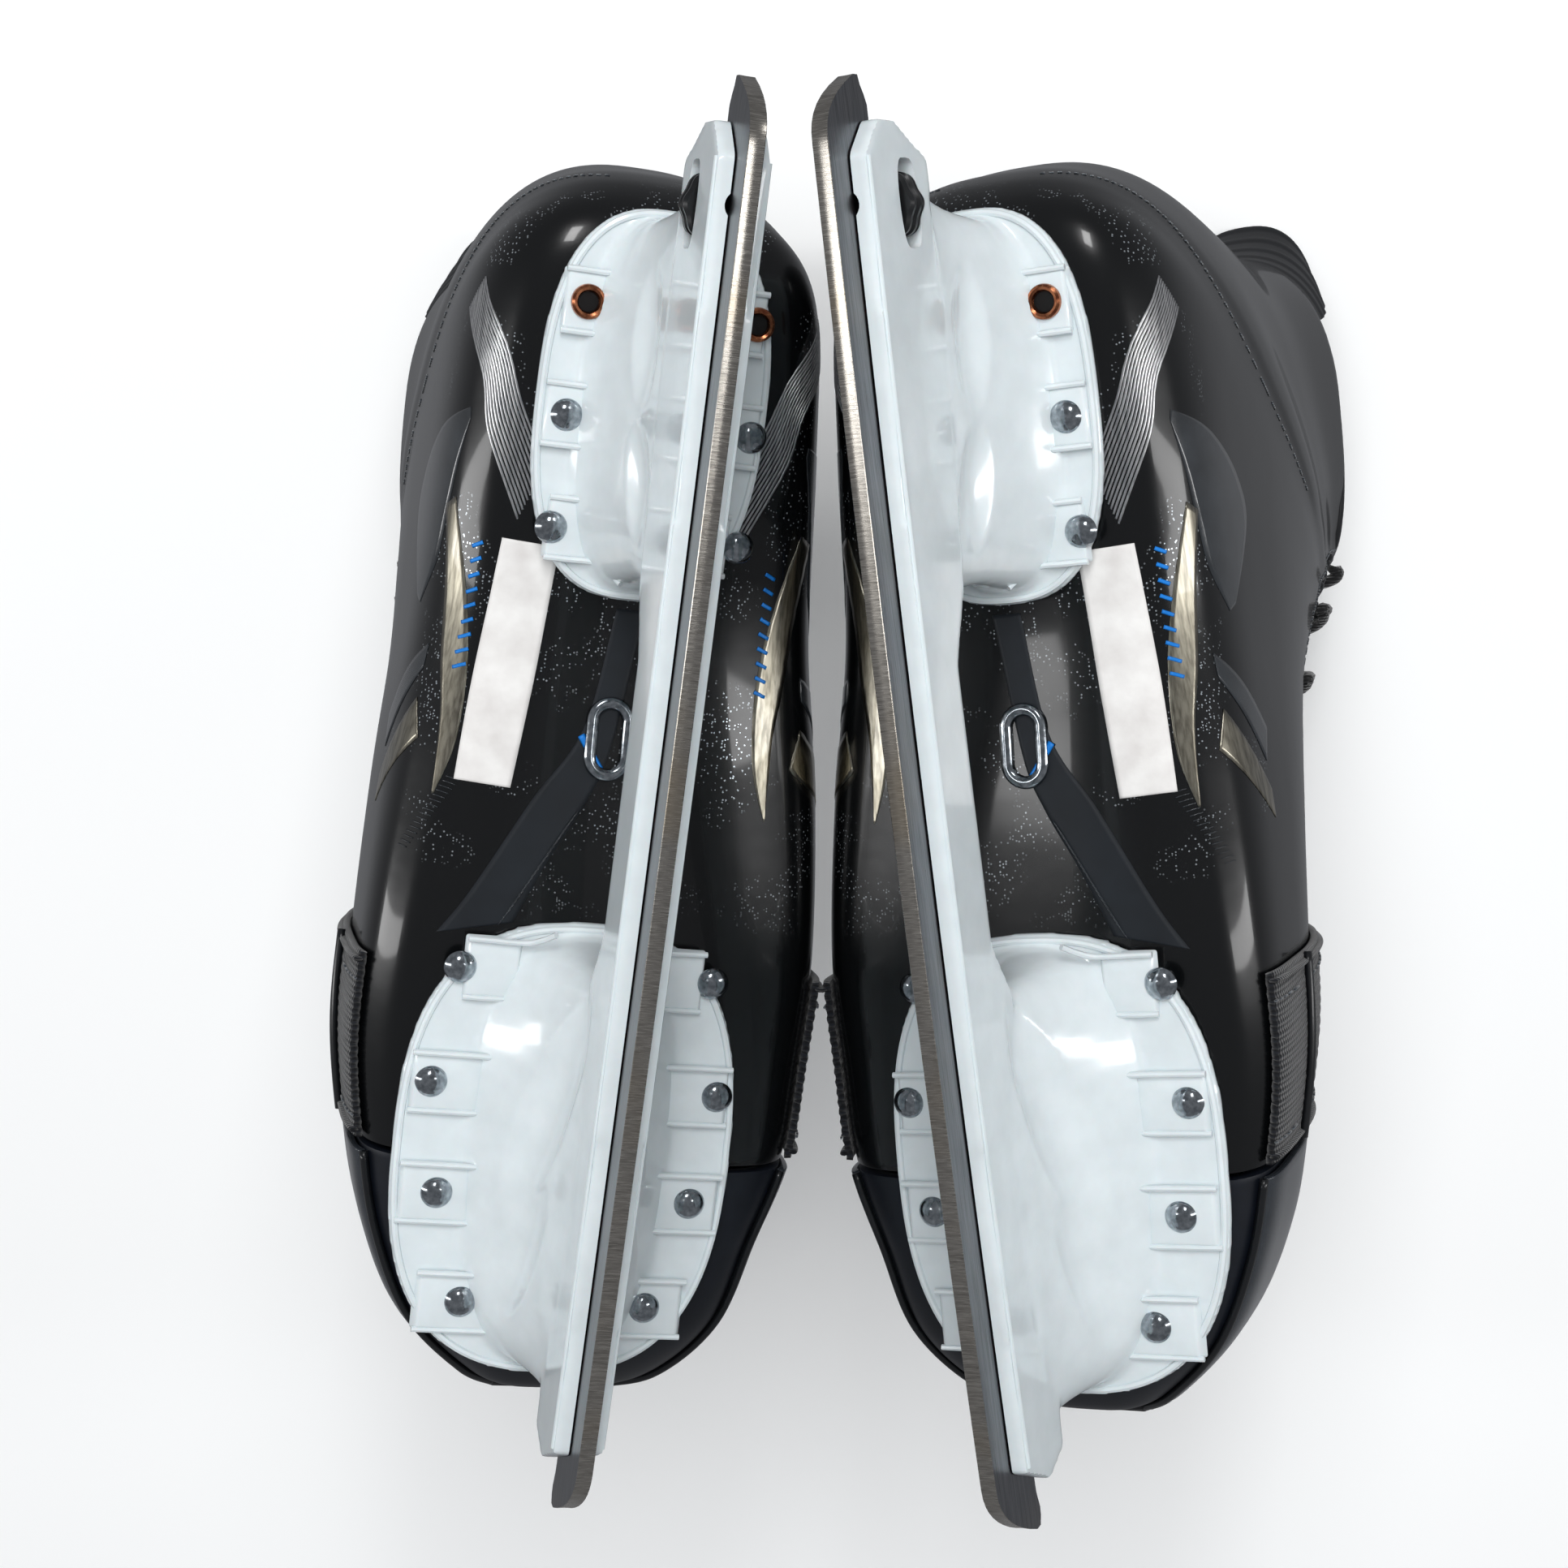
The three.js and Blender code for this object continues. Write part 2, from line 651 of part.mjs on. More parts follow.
function runner() {
  const half = runnerLength / 2;
  const edge = steps(-half + 12, half - 16, 12).map((y) => [y, rockerAt(y)]);
  const top = steps(half - 9, -half + 8, 8).map((y) => [y, runnerTop(y)]);
  return sidePlate([
    [-half, runnerHeelRise],
    [-half + 1.2, 8],
    [-half + 4.6, 3.8],
    ...edge,
    [half - 7, 6],
    [half - 2, 13],
    [half, runnerToeRise],
    [half - 3, runnerTop(half) + 1],
    ...top,
    [-half + 1.5, runnerTop(half) - 1],
  ], runnerThickness);
}

function lockWheel() {
  const outline = Array.from({ length: wheelScallops * 4 }, (_, i) => {
    const angle = i / (wheelScallops * 4) * 2 * Math.PI;
    const radius = wheelRadius - 0.45 + 0.45 * Math.cos(angle * wheelScallops);
    return point(Math.cos(angle) * radius, Math.sin(angle) * radius, 0);
  });
  const disc = rings([0, wheelHeight].map((z) => outline.map((p) => p.clone().setZ(wheelLow + z))));
  const bore = turned([[0, 0], [studRadius + fit, 0], [studRadius + fit, 60], [0, 60]], 12);
  return geometryOf(without(solidOf(disc), bore)).translate(0, wheelY, 0);
}

function lockStud() {
  const low = runnerTop(wheelY) + fit;
  const high = windowTop + 3;
  return turned([[0, low], [studRadius, low], [studRadius, high - 1], [studRadius - 0.8, high], [0, high]], 12)
    .translate(0, wheelY, 0);
}

// A rivet through plate and shell: a domed head under the plate, or a hollow one with a rolled rim.
function rivet(x, y, kind) {
  const head = plateUnderAt(y) - fit;
  const end = head + fit + plateThickness + fit + shellWall;
  const dome = [[0, head - rivetHeadHeight], [rivetHead * 0.72, head - rivetHeadHeight * 0.68], [rivetHead, head]];
  const rolled = [[0, head - 0.2], [copperBore, head - 0.2], [copperBore + 0.4, head - 1.3], [copperHead, head - 0.7],
    [copperHead, head]];
  return turned([...(kind === 'copper' ? rolled : dome), [rivetShank, head], [rivetShank, end], [0, end]], 8)
    .translate(x, y, 0);
}

// --- The pair ------------------------------------------------------------------------------------

const looks = {
  gloss: { color: 0x0b0d0e, roughness: 0.18, metalness: 0 },
  navy: { color: 0x0c1018, roughness: 0.45, metalness: 0 },
  white: { color: 0xdfe6e6, roughness: 0.2, metalness: 0 },
  steel: { color: 0x8d8a86, roughness: 0.25, metalness: 1 },
  nickel: { color: 0xb9bfc4, roughness: 0.15, metalness: 1 },
  copper: { color: 0xb56a45, roughness: 0.25, metalness: 1 },
  felt: { color: 0xe4e3de, roughness: 0.95, metalness: 0 },
  cloth: { color: 0x15171a, roughness: 0.9, metalness: 0 },
  smoke: { color: 0x3a3f44, roughness: 0.2, metalness: 0 },
  dark: { color: 0x17181a, roughness: 0.4, metalness: 0 },
};

function pieces() {
  const list = [
    ['boot_shell', bootShell(), looks.gloss],
    ['toe_cap', toeCap(), looks.navy],
    ['insole_board', insoleBoard(), looks.dark],
    ['liner', liner(), looks.cloth],
    ['footbed', footbed(), looks.cloth],
    ['tongue', tongue(), looks.felt],
    ['tongue_top', tongueTop(), looks.felt],
    ['tendon_guard', tendonGuard(), looks.dark],
    ['forefoot_band', forefootBand(), looks.cloth],
    ['toe_shield', toeShield(), looks.smoke],
    ['vent_grommet', ventGrommet(), looks.nickel],
    ['lace', lace(), looks.cloth],
    ['blade_holder', holder(), looks.white],
    ['runner', runner(), looks.steel],
    ['lock_wheel', lockWheel(), looks.dark],
    ['lock_stud', lockStud(), looks.steel],
  ];
  const counts = {};
  for (const [x, y, kind, side] of rivetPlaces) {
    const key = `${kind}_rivet_${side}`;
    counts[key] = (counts[key] ?? 0) + 1;
    const look = kind === 'copper' ? looks.copper : looks.nickel;
    list.push([`${key}_${counts[key]}`, rivet(x, y, kind), look]);
  }
  return list;
}

function layOver(group, pitch) {
  group.rotation.set(Math.PI + pitch, -degrees(lean), degrees(toeOut), 'ZYX');
}

// The pitch, in radians, at which the tongue and the tendon guard both touch the floor.
function restingPitch() {
  const supports = [tongueTop(), tendonGuard()].map((geometry) => {
    const group = new THREE.Group();
    group.add(new THREE.Mesh(geometry));
    return group;
  });
  let [low, high] = [-0.3, 0.3];
  for (let i = 0; i < 30; i++) {
    const middle = (low + high) / 2;
    const [tongueLow, guardLow] = supports.map((group) => {
      layOver(group, middle);
      return new THREE.Box3().setFromObject(group, true).min.z;
    });
    if (tongueLow < guardLow) {
      high = middle;
    } else {
      low = middle;
    }
  }
  return low;
}

const pitch = restingPitch();

// One skate turned over and leaned; the left one is the right one's mirror image.
function skate(side) {
  const turnedOver = new THREE.Group();
  layOver(turnedOver, pitch);
  for (const [name, geometry, look] of pieces()) {
    const mesh = new THREE.Mesh(geometry, new THREE.MeshStandardMaterial(look));
    mesh.name = `${side}_${name}`;
    turnedOver.add(mesh);
  }
  const box = new THREE.Box3().setFromObject(turnedOver, true);
  turnedOver.position.x = pairGap / 2 - box.min.x;
  const half = new THREE.Group();
  half.add(turnedOver);
  half.scale.x = side === 'left' ? -1 : 1;
  return half;
}

const pair = new THREE.Group();
pair.add(skate('left'), skate('right'));
pair.updateMatrixWorld(true);
const extent = new THREE.Box3().setFromObject(pair, true);
pair.position.set(0, -(extent.min.y + extent.max.y) / 2, -extent.min.z);

export default pair;
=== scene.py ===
import json
import math

import bmesh
import bpy
from mathutils import Matrix, Vector, noise
from mathutils.bvhtree import BVHTree


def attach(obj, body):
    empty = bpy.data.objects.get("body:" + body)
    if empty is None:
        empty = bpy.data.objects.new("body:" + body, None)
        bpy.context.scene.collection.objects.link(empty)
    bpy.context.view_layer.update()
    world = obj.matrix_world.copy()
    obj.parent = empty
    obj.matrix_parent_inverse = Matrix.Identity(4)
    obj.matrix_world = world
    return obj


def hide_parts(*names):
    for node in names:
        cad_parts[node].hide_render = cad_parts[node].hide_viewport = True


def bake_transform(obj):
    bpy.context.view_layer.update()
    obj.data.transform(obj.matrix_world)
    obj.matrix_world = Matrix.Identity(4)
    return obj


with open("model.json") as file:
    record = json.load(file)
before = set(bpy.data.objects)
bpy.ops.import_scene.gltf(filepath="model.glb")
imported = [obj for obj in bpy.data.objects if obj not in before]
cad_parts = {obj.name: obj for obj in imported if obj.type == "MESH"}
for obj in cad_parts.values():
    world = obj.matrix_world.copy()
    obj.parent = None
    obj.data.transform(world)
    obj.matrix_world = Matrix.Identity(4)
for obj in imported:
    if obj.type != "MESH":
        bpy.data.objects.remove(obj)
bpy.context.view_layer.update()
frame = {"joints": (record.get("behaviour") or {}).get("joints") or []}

# A pair of hockey skates lying soles up. Each piece is made once, in millimetres, in the frame of one upright
# skate: x to the outer side, y to the toe, z from the blade's edge up. Two copies are then placed, one mirrored.
joints = {joint["name"]: joint for joint in frame["joints"]}
outward = -Vector(joints["right_tongue_flex"]["axis"]).normalized()
upward = Vector(joints["right_lock_turn"]["axis"]).normalized()
toeward = upward.cross(outward).normalized()
lock = {"y": -113, "z": 27.7, "scallops": 8}
origin = Vector(joints["right_lock_turn"]["pos_m"]) - (toeward * lock["y"] + upward * lock["z"]) / 1000
axes = Matrix((outward, toeward, upward)).transposed().to_4x4()
placeRight = Matrix.Translation(origin) @ axes @ Matrix.Scale(0.001, 4)
places = {"right": placeRight, "left": Matrix.Diagonal((-1, 1, 1, 1)) @ placeRight}
flanks = {"outer": 1, "inner": -1}
print("frame loaded")

# --- camera, lights, floor

view = {"place": (0.04148, 0.06003, 0.7034), "turn": (-6.2275, 5.4166, 0.4182), "lens": 58.68}
camera = bpy.data.objects.new("camera", bpy.data.cameras.new("camera"))
camera.location = view["place"]
camera.rotation_euler = [math.radians(angle) for angle in view["turn"]]
camera.data.lens = view["lens"]
camera.data.sensor_width = 36
bpy.context.scene.collection.objects.link(camera)
bpy.context.scene.camera = camera


def addLight(name, place, target, size, watts, mirrored=True):
    data = bpy.data.lights.new(name, "AREA")
    data.shape = "RECTANGLE"
    data.size, data.size_y = size
    data.energy = watts
    light = bpy.data.objects.new(name, data)
    light.location = place
    light.visible_glossy = mirrored  # the broad fill doesn't show as a grey patch in the gloss
    light.rotation_euler = (Vector(target) - Vector(place)).to_track_quat("-Z", "Y").to_euler()
    bpy.context.scene.collection.objects.link(light)


addLight("overheadFill", (0.05, 0.3, 1.25), (0, 0, 0.15), (0.6, 0.9), 12, False)
addLight("rightStrip", (0.95, 0.1, 0.7), (0.05, 0, 0.15), (0.1, 1.0), 2.6)
addLight("leftStrip", (-0.95, 0.05, 0.7), (-0.05, 0, 0.15), (0.1, 1.0), 2.6)
addLight("heelLamp", (0.1, 0.75, 1.1), (0, 0.05, 0.2), (0.16, 0.3), 2.2)

world = bpy.data.worlds.new("paleStudio")
bpy.context.scene.world = world
world.use_nodes = True
world.node_tree.nodes["Background"].inputs["Color"].default_value = (0.93, 0.95, 1, 1)
world.node_tree.nodes["Background"].inputs["Strength"].default_value = 0.22
bpy.context.scene.view_settings.view_transform = "Standard"

# --- materials

shoe = {"attribute_name": "shoe"}  # a place in millimetres on one upright skate, so patterns keep their real size


def linear(code):
    channels = [int(code[i:i + 2], 16) / 255 for i in (1, 3, 5)]
    return (*[c / 12.92 if c <= 0.04045 else ((c + 0.055) / 1.055) ** 2.4 for c in channels], 1)


def setUp(node, settings):
    # each value is a plain one, or the node or output that feeds it
    for key, value in settings.items():
        socket = node.inputs[key] if isinstance(key, int) or key in node.inputs else None
        if isinstance(value, bpy.types.Node):
            value = value.outputs[0]
        if isinstance(value, bpy.types.NodeSocket):
            node.id_data.links.new(value, socket)
        elif socket is not None:
            socket.default_value = value
        elif key == "stops":
            for stop, (position, colour) in zip(node.color_ramp.elements, value):
                stop.position, stop.color = position, linear(colour)
        else:
            setattr(node, key, value)
    return node


def addNode(tree, kind, settings):
    return setUp(tree.nodes.new("ShaderNode" + kind), settings)


def newMaterial(name, **settings):
    material = bpy.data.materials.new(name)
    material.use_nodes = True
    shader = material.node_tree.nodes["Principled BSDF"]
    return material, material.node_tree, setUp(shader, {key.replace("_", " "): settings[key] for key in settings})


def moulded(name, colour, second, roughness, spread=0.04, grain=1.4, depth=0.02, coat=0.0, **more):
    # moulded, printed or pressed: an even tint over fine grain, and a gloss that drifts as handling leaves it
    material, tree, shader = newMaterial(name, IOR=1.5, Coat_Weight=coat, Coat_Roughness=0.06, **more)
    where = addNode(tree, "Attribute", shoe).outputs["Vector"]
    cloud = addNode(tree, "TexNoise", {"Vector": where, "Scale": 0.15, "Detail": 5})
    gloss = addNode(tree, "MapRange", {"Value": cloud, "To Min": roughness - spread, "To Max": roughness + spread})
    tint = addNode(tree, "ValToRGB", {0: cloud, "stops": ((0.3, colour), (0.7, second))})
    fine = addNode(tree, "TexNoise", {"Vector": where, "Scale": grain, "Detail": 6})
    bump = addNode(tree, "Bump", {"Height": fine, "Strength": 0.25, "Distance": depth / 1000})
    setUp(shader, {"Base Color": tint, "Roughness": gloss, "Normal": bump})
    return material


def fleckedComposite(name, base, fleck, share, spacing):
    # pressed composite under a clear gloss coat: near-black, with bright metal flecks about 0.35 mm across
    material, tree, shader = newMaterial(name, IOR=1.42, Coat_Weight=0.45, Coat_Roughness=0.06, Roughness=0.25)
    where = addNode(tree, "Attribute", shoe).outputs["Vector"]
    cells = addNode(tree, "TexVoronoi", {"Vector": where, "Scale": 1 / spacing, "Randomness": 0.75})
    chance = addNode(tree, "SeparateColor", {0: cells.outputs["Color"]})
    mask = addNode(tree, "Math", {"operation": "LESS_THAN", 0: chance, 1: share})
    near = addNode(tree, "Math", {"operation": "LESS_THAN", 0: cells.outputs["Distance"], 1: 0.3})
    # the flecks gather in patches along the sole's edge, end before the toe and thin out up the flank
    spot = addNode(tree, "SeparateXYZ", {0: where})
    low = addNode(tree, "MapRange", {"Value": spot.outputs["Z"], "From Min": 92, "From Max": 74})
    behind = addNode(tree, "MapRange", {"Value": spot.outputs["Y"], "From Min": 30, "From Max": 5})
    cloud = addNode(tree, "TexNoise", {"Vector": where, "Scale": 0.06, "Detail": 2})
    patch = addNode(tree, "MapRange", {"Value": cloud, "From Min": 0.5, "From Max": 0.64})
    for factor in (behind, near, low, patch):
        mask = addNode(tree, "Math", {"operation": "MULTIPLY", 0: mask, 1: factor})
    colour = addNode(tree, "Mix", {"data_type": "RGBA", 0: mask, 6: linear(base), 7: linear(fleck)})
    soft = addNode(tree, "TexNoise", {"Vector": where, "Scale": 0.05, "Detail": 3})
    bump = addNode(tree, "Bump", {"Height": soft, "Strength": 0.3, "Distance": 0.5 / 1000})
    setUp(shader, {"Base Color": colour.outputs[2], "Metallic": mask, "Normal": bump})
    return material


def wovenCloth(name, colour, second, pitch, roughness=0.85, depth=0.25, fuzz=0.3):
    # thread ribs at the real pitch, with painted shade in the valleys: the low parts take the darker second colour
    material, tree, shader = newMaterial(name, IOR=1.45, Roughness=roughness, Sheen_Weight=fuzz, Sheen_Roughness=0.5)
    spot = addNode(tree, "SeparateXYZ", {0: addNode(tree, "Attribute", shoe).outputs["Vector"]})
    waves = []
    for axis, length in (("Y", pitch), ("Z", pitch * 0.8)):
        phase = addNode(tree, "Math", {"operation": "MULTIPLY", 0: spot.outputs[axis], 1: math.tau / length})
        waves.append(addNode(tree, "Math", {"operation": "SINE", 0: phase}))
    both = addNode(tree, "Math", {"operation": "MULTIPLY_ADD", 0: waves[1], 1: 0.35, 2: waves[0]})
    # painted shade: the valleys between the ribs take the darker colour, the crests the lighter one
    tint = addNode(tree, "ValToRGB", {0: both, "stops": ((0.2, second), (0.9, colour))})
    bump = addNode(tree, "Bump", {"Height": both, "Strength": 0.7, "Distance": depth / 1000})
    setUp(shader, {"Base Color": tint, "Normal": bump})
    return material


def feltCloth(name, colour, second):
    # pressed or brushed fibres: short and tangled, about half a millimetre apart, with a soft pale rim
    material, tree, shader = newMaterial(name, IOR=1.45, Roughness=0.95, Sheen_Weight=0.6, Sheen_Roughness=0.4)
    where = addNode(tree, "Attribute", shoe).outputs["Vector"]
    fibres = addNode(tree, "TexNoise", {"Vector": where, "Scale": 1.6, "Detail": 8, "Roughness": 0.7,
                                        "Distortion": 1.2})
    tint = addNode(tree, "ValToRGB", {0: fibres, "stops": ((0.3, second), (0.7, colour))})
    bump = addNode(tree, "Bump", {"Height": fibres, "Strength": 0.8, "Distance": 0.6 / 1000})
    setUp(shader, {"Base Color": tint, "Normal": bump})
    return material


def groundSteel(name, light, dark, across, roughness, warmth):
    # surface-ground steel: fine scratches across the blade, and warm stains where the stone heated it
    material, tree, shader = newMaterial(name, Metallic=1.0, Roughness=roughness)
    where = addNode(tree, "Attribute", shoe).outputs["Vector"]
    stretch = addNode(tree, "Mapping", {0: where, "Scale": across})
    lines = addNode(tree, "TexNoise", {"Vector": stretch, "Scale": 1.0, "Detail": 7, "Roughness": 0.65})
    tint = addNode(tree, "ValToRGB", {0: lines, "stops": ((0.35, dark), (0.65, light))})
    stain = addNode(tree, "TexNoise", {"Vector": where, "Scale": 0.035, "Detail": 2})
    warm = addNode(tree, "MapRange", {"Value": stain, "From Min": 0.52, "From Max": 0.72, "To Max": warmth})
    colour = addNode(tree, "Mix", {"data_type": "RGBA", 0: warm, 6: tint, 7: linear("#b9a27a")})
    gloss = addNode(tree, "MapRange", {"Value": lines, "To Min": roughness - 0.1, "To Max": roughness + 0.12})
    bump = addNode(tree, "Bump", {"Height": lines, "Strength": 0.25, "Distance": 0.03 / 1000})
    setUp(shader, {"Base Color": colour.outputs[2], "Roughness": gloss, "Normal": bump})
    return material


def platedMetal(name, colour, second, roughness):
    # plated or rolled metal: a bright mirror that dulls in small clouds
    material, tree, shader = newMaterial(name, Metallic=1.0, Roughness=roughness)
    where = addNode(tree, "Attribute", shoe).outputs["Vector"]
    cloud = addNode(tree, "TexNoise", {"Vector": where, "Scale": 0.9, "Detail": 5})
    tint = addNode(tree, "ValToRGB", {0: cloud, "stops": ((0.35, second), (0.7, colour))})
    gloss = addNode(tree, "MapRange", {"Value": cloud, "To Min": roughness * 0.6, "To Max": roughness * 1.6})
    bump = addNode(tree, "Bump", {"Height": cloud, "Strength": 0.15, "Distance": 0.05 / 1000})
    setUp(shader, {"Base Color": tint, "Roughness": gloss, "Normal": bump})
    return material


def printedFoil(name, colour, second, roughness):
    # hot-stamped foil: brushed along the boot, so it flashes in bands
    material, tree, shader = newMaterial(name, Metallic=1.0, Roughness=roughness, Coat_Weight=0.5)
    where = addNode(tree, "Attribute", shoe).outputs["Vector"]
    stretch = addNode(tree, "Mapping", {0: where, "Scale": (1.2, 0.12, 1.2)})
    lines = addNode(tree, "TexNoise", {"Vector": stretch, "Scale": 1.0, "Detail": 6})
    tint = addNode(tree, "ValToRGB", {0: lines, "stops": ((0.35, second), (0.65, colour))})
    bump = addNode(tree, "Bump", {"Height": lines, "Strength": 0.2, "Distance": 0.05 / 1000})
    setUp(shader, {"Base Color": tint, "Normal": bump})
    return material


finishes = {
    # injection-moulded glass-filled nylon: cool white gloss with faint flow marks
    "nylon": moulded("white_nylon_moulded", "#d0d8db", "#c8d0d3", 0.16, 0.05, 0.5, 0.03, 0.35,
                     Subsurface_Weight=0.08, Subsurface_Scale=0.002),
    "boot": fleckedComposite("black_composite_pressed", "#050607", "#c9d2d8", 0.4, 0.62),
    # moulded TPU, rubber and acetal: dark and soft-edged, each with its own dullness
    "cap": moulded("navy_black_tpu_moulded", "#0b0e14", "#10141c", 0.42, 0.05, 2.0, 0.05),
    "rail": moulded("black_rubber_trim", "#08090b", "#0e1013", 0.3, 0.05, 2.0, 0.05, 0.3),
    "guard": moulded("black_tpu_moulded", "#0d0e10", "#141619", 0.38, 0.05, 1.4, 0.05, 0.2),
    "wheel": moulded("black_acetal_moulded", "#0c0d0e", "#141517", 0.32, 0.06, 2.0, 0.05),
    # moulded smoke polycarbonate: a clear grey skin that shows the cap behind it
    "smoke": moulded("smoke_polycarbonate_moulded", "#2b2f34", "#363b41", 0.14, 0.04, 0.3, 0.05, 0.8,
                     Transmission_Weight=0.35),
    # printed films, ink and paper: flat colour, matt or glossy, without depth
    "matte": moulded("matt_film_printed", "#14171b", "#191d22", 0.55, 0.05, 2.0, 0.03),
    "ankle": moulded("grey_film_pressed", "#1d2023", "#2a2e32", 0.25, 0.05, 0.25, 0.2, 0.8),
    "label": moulded("paper_label_blank", "#dddcda", "#c9c6c4", 0.42, 0.08, 0.5, 0.25),
    "blue": moulded("blue_ink_printed", "#0f67b4", "#1474c8", 0.35, 0.05, 1.5, 0.02),
    "silver": printedFoil("silver_foil_stamped", "#eeeeee", "#c2c3c5", 0.34),
    "champagne": printedFoil("champagne_foil_stamped", "#b9b3a2", "#7f7a6d", 0.3),
    # each woven cloth's second, darker colour is the painted shade in its valleys
    "webbing": wovenCloth("black_webbing_woven", "#14171d", "#05060a", 1.1, 0.8, 0.25, 0.25),
    "stitch": wovenCloth("grey_thread_twisted", "#5d646b", "#2d3136", 0.5, 0.8, 0.1, 0.3),
    "lace": wovenCloth("black_lace_braided", "#191a1c", "#070708", 0.7, 0.75, 0.15, 0.4),
    "lining": feltCloth("charcoal_lining_brushed", "#2a2b2f", "#17181b"),
    "felt": feltCloth("white_felt_pressed", "#efeeea", "#cfccc6"),
    "foam": feltCloth("grey_foam_covered", "#3a3b40", "#222327"),
    # pressed fibre board: dull brown, with a rough face
    "board": moulded("fibre_board_pressed", "#2e2b28", "#3a3631", 0.7, 0.05, 2.0, 0.1),
    "steel": groundSteel("stainless_side_satin", "#8b8c90", "#606266", (0.5, 0.08, 3.0), 0.3, 0.08),
    "edge": groundSteel("stainless_edge_ground", "#d2cdc4", "#8f8a83", (0.3, 7.0, 0.3), 0.24, 0.4),
    "stud": platedMetal("zinc_thread_rolled", "#8d8f92", "#5b5d60", 0.35),
    "nickel": platedMetal("nickel_plated_domed", "#c3c9ce", "#8d949a", 0.14),
    "copper": platedMetal("copper_tube_rolled", "#c9855f", "#8f4f36", 0.22),
    # painted shade for the inside of a rivet's tube: dull and almost black
    "hollow": moulded("shadowed_bore", "#050303", "#0c0706", 0.6, 0.05, 2.0, 0.05),
}
print("materials made")

# --- making and placing


def putOn(name, bm, finish, body="skate", nodes=(), modifiers=(), sharp=40):
    bmesh.ops.remove_doubles(bm, verts=bm.verts, dist=0.0005)
    shoe = bm.verts.layers.float_vector.get("shoe") or bm.verts.layers.float_vector.new("shoe")
    for vert in bm.verts:
        vert[shoe] = vert.co
    for side, place in places.items():
        copy = bm.copy()
        bmesh.ops.transform(copy, matrix=place, verts=copy.verts)
        if side == "left":
            bmesh.ops.reverse_faces(copy, faces=copy.faces)
        mesh = bpy.data.meshes.new(f"{side}_{name}")
        copy.to_mesh(mesh)
        copy.free()
        for polygon in mesh.polygons:
            polygon.use_smooth = True
        for key in ([finish] if isinstance(finish, str) else finish):
            mesh.materials.append(finishes[key])
        piece = bpy.data.objects.new(f"{side}_{name}", mesh)
        bpy.context.scene.collection.objects.link(piece)
        if sharp:
            mesh.set_sharp_from_angle(angle=math.radians(sharp))
        for kind, settings in modifiers:
            modifier = piece.modifiers.new(kind.title(), kind)
            for key, value in settings.items():
                setattr(modifier, key, value)
        if isinstance(body, str):
            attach(piece, f"{side}_{body}")
        else:
            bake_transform(piece)
        if nodes:
            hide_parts(*[f"{side}_{node}" for node in nodes])
    bm.free()


def wall(thickness, offset=-1):
    return ("SOLIDIFY", {"thickness": thickness / 1000, "offset": offset})


def rounded(width, segments=2):
    return ("BEVEL", {"width": width / 1000, "segments": segments, "limit_method": "ANGLE",
                      "angle_limit": math.radians(50)})


def sheet(rows, columns, inside, place):
    # a grid laid over a surface, with its faces turned away from a point inside
    bm = bmesh.new()
    bmesh.ops.create_grid(bm, x_segments=rows, y_segments=columns, size=0.5)
    for vert in bm.verts:
        vert.co = place(vert.co.x + 0.5, vert.co.y + 0.5)
    bm.normal_update()
    away = sum(face.normal.dot(face.calc_center_median() - Vector(inside)) * face.calc_area() for face in bm.faces)
    if away < 0:
        bmesh.ops.reverse_faces(bm, faces=bm.faces)
        bm.normal_update()
    return bm


def grow(bm, verts, edges, points, step):
    # extrudes a ring of edges and moves the new ring to its points
    made = bmesh.ops.extrude_edge_only(bm, edges=edges)["geom"]
    fresh = {item for item in made if isinstance(item, bmesh.types.BMVert)}
    links = [(link.other_vert(vert), vert) for vert in fresh for link in vert.link_edges]
    match = {old: new for old, new in links if old not in fresh}
    verts = [match[vert] for vert in verts]
    for vert, point in zip(verts, points):
        vert.co = point
    return verts, [bm.edges.get((verts[k], verts[(k + step) % len(verts)])) for k in range(len(verts))]


def sweep(bm, points, section, closed=False, up=Vector((0, 0, 1))):
    # a section carried along a line
    points = [Vector(point) for point in points]
    count, corners = len(points), len(section)
    for i, point in enumerate(points):
        ahead = points[(i + 1) % count] if closed or i < count - 1 else point
        behind = points[i - 1] if closed or i > 0 else point
        forward = (ahead - behind).normalized()
        side = forward.cross(up[i] if isinstance(up, list) else up).normalized()
        top = side.cross(forward).normalized()
        placed = [point + side * x + top * y for x, y in section]
        if i == 0:
            verts = [bm.verts.new(place) for place in placed]
            first = edges = [bm.edges.new((verts[k], verts[(k + 1) % corners])) for k in range(corners)]
        else:
            verts, edges = grow(bm, verts, edges, placed, 1)
    if closed:
        bmesh.ops.bridge_loops(bm, edges=first + edges)
    else:
        bmesh.ops.contextual_create(bm, geom=first)
        bmesh.ops.contextual_create(bm, geom=edges)
    bmesh.ops.recalc_face_normals(bm, faces=bm.faces)
    return bm


def circle(radius, sides=10, flat=1.0):
    angles = [i / sides * math.tau for i in range(sides)]
    return [(math.cos(angle) * radius, math.sin(angle) * radius * flat) for angle in angles]


def lathe(profile, steps, centre=(0, 0, 0)):
    bm = bmesh.new()
    verts = [bm.verts.new((radius, 0, height)) for radius, height in profile]
    edges = [bm.edges.new(pair) for pair in zip(verts, verts[1:])]
    bmesh.ops.spin(bm, geom=verts + edges, cent=(0, 0, 0), axis=(0, 0, 1), angle=math.tau, steps=steps, use_merge=True)
    bmesh.ops.remove_doubles(bm, verts=bm.verts, dist=0.0005)
    bmesh.ops.recalc_face_normals(bm, faces=bm.faces)
    bmesh.ops.translate(bm, verts=bm.verts, vec=centre)
    return bm


def merged(target, other):
    mesh = bpy.data.meshes.new("part")
    other.to_mesh(mesh)
    other.free()
    target.from_mesh(mesh)
    bpy.data.meshes.remove(mesh)
    return target


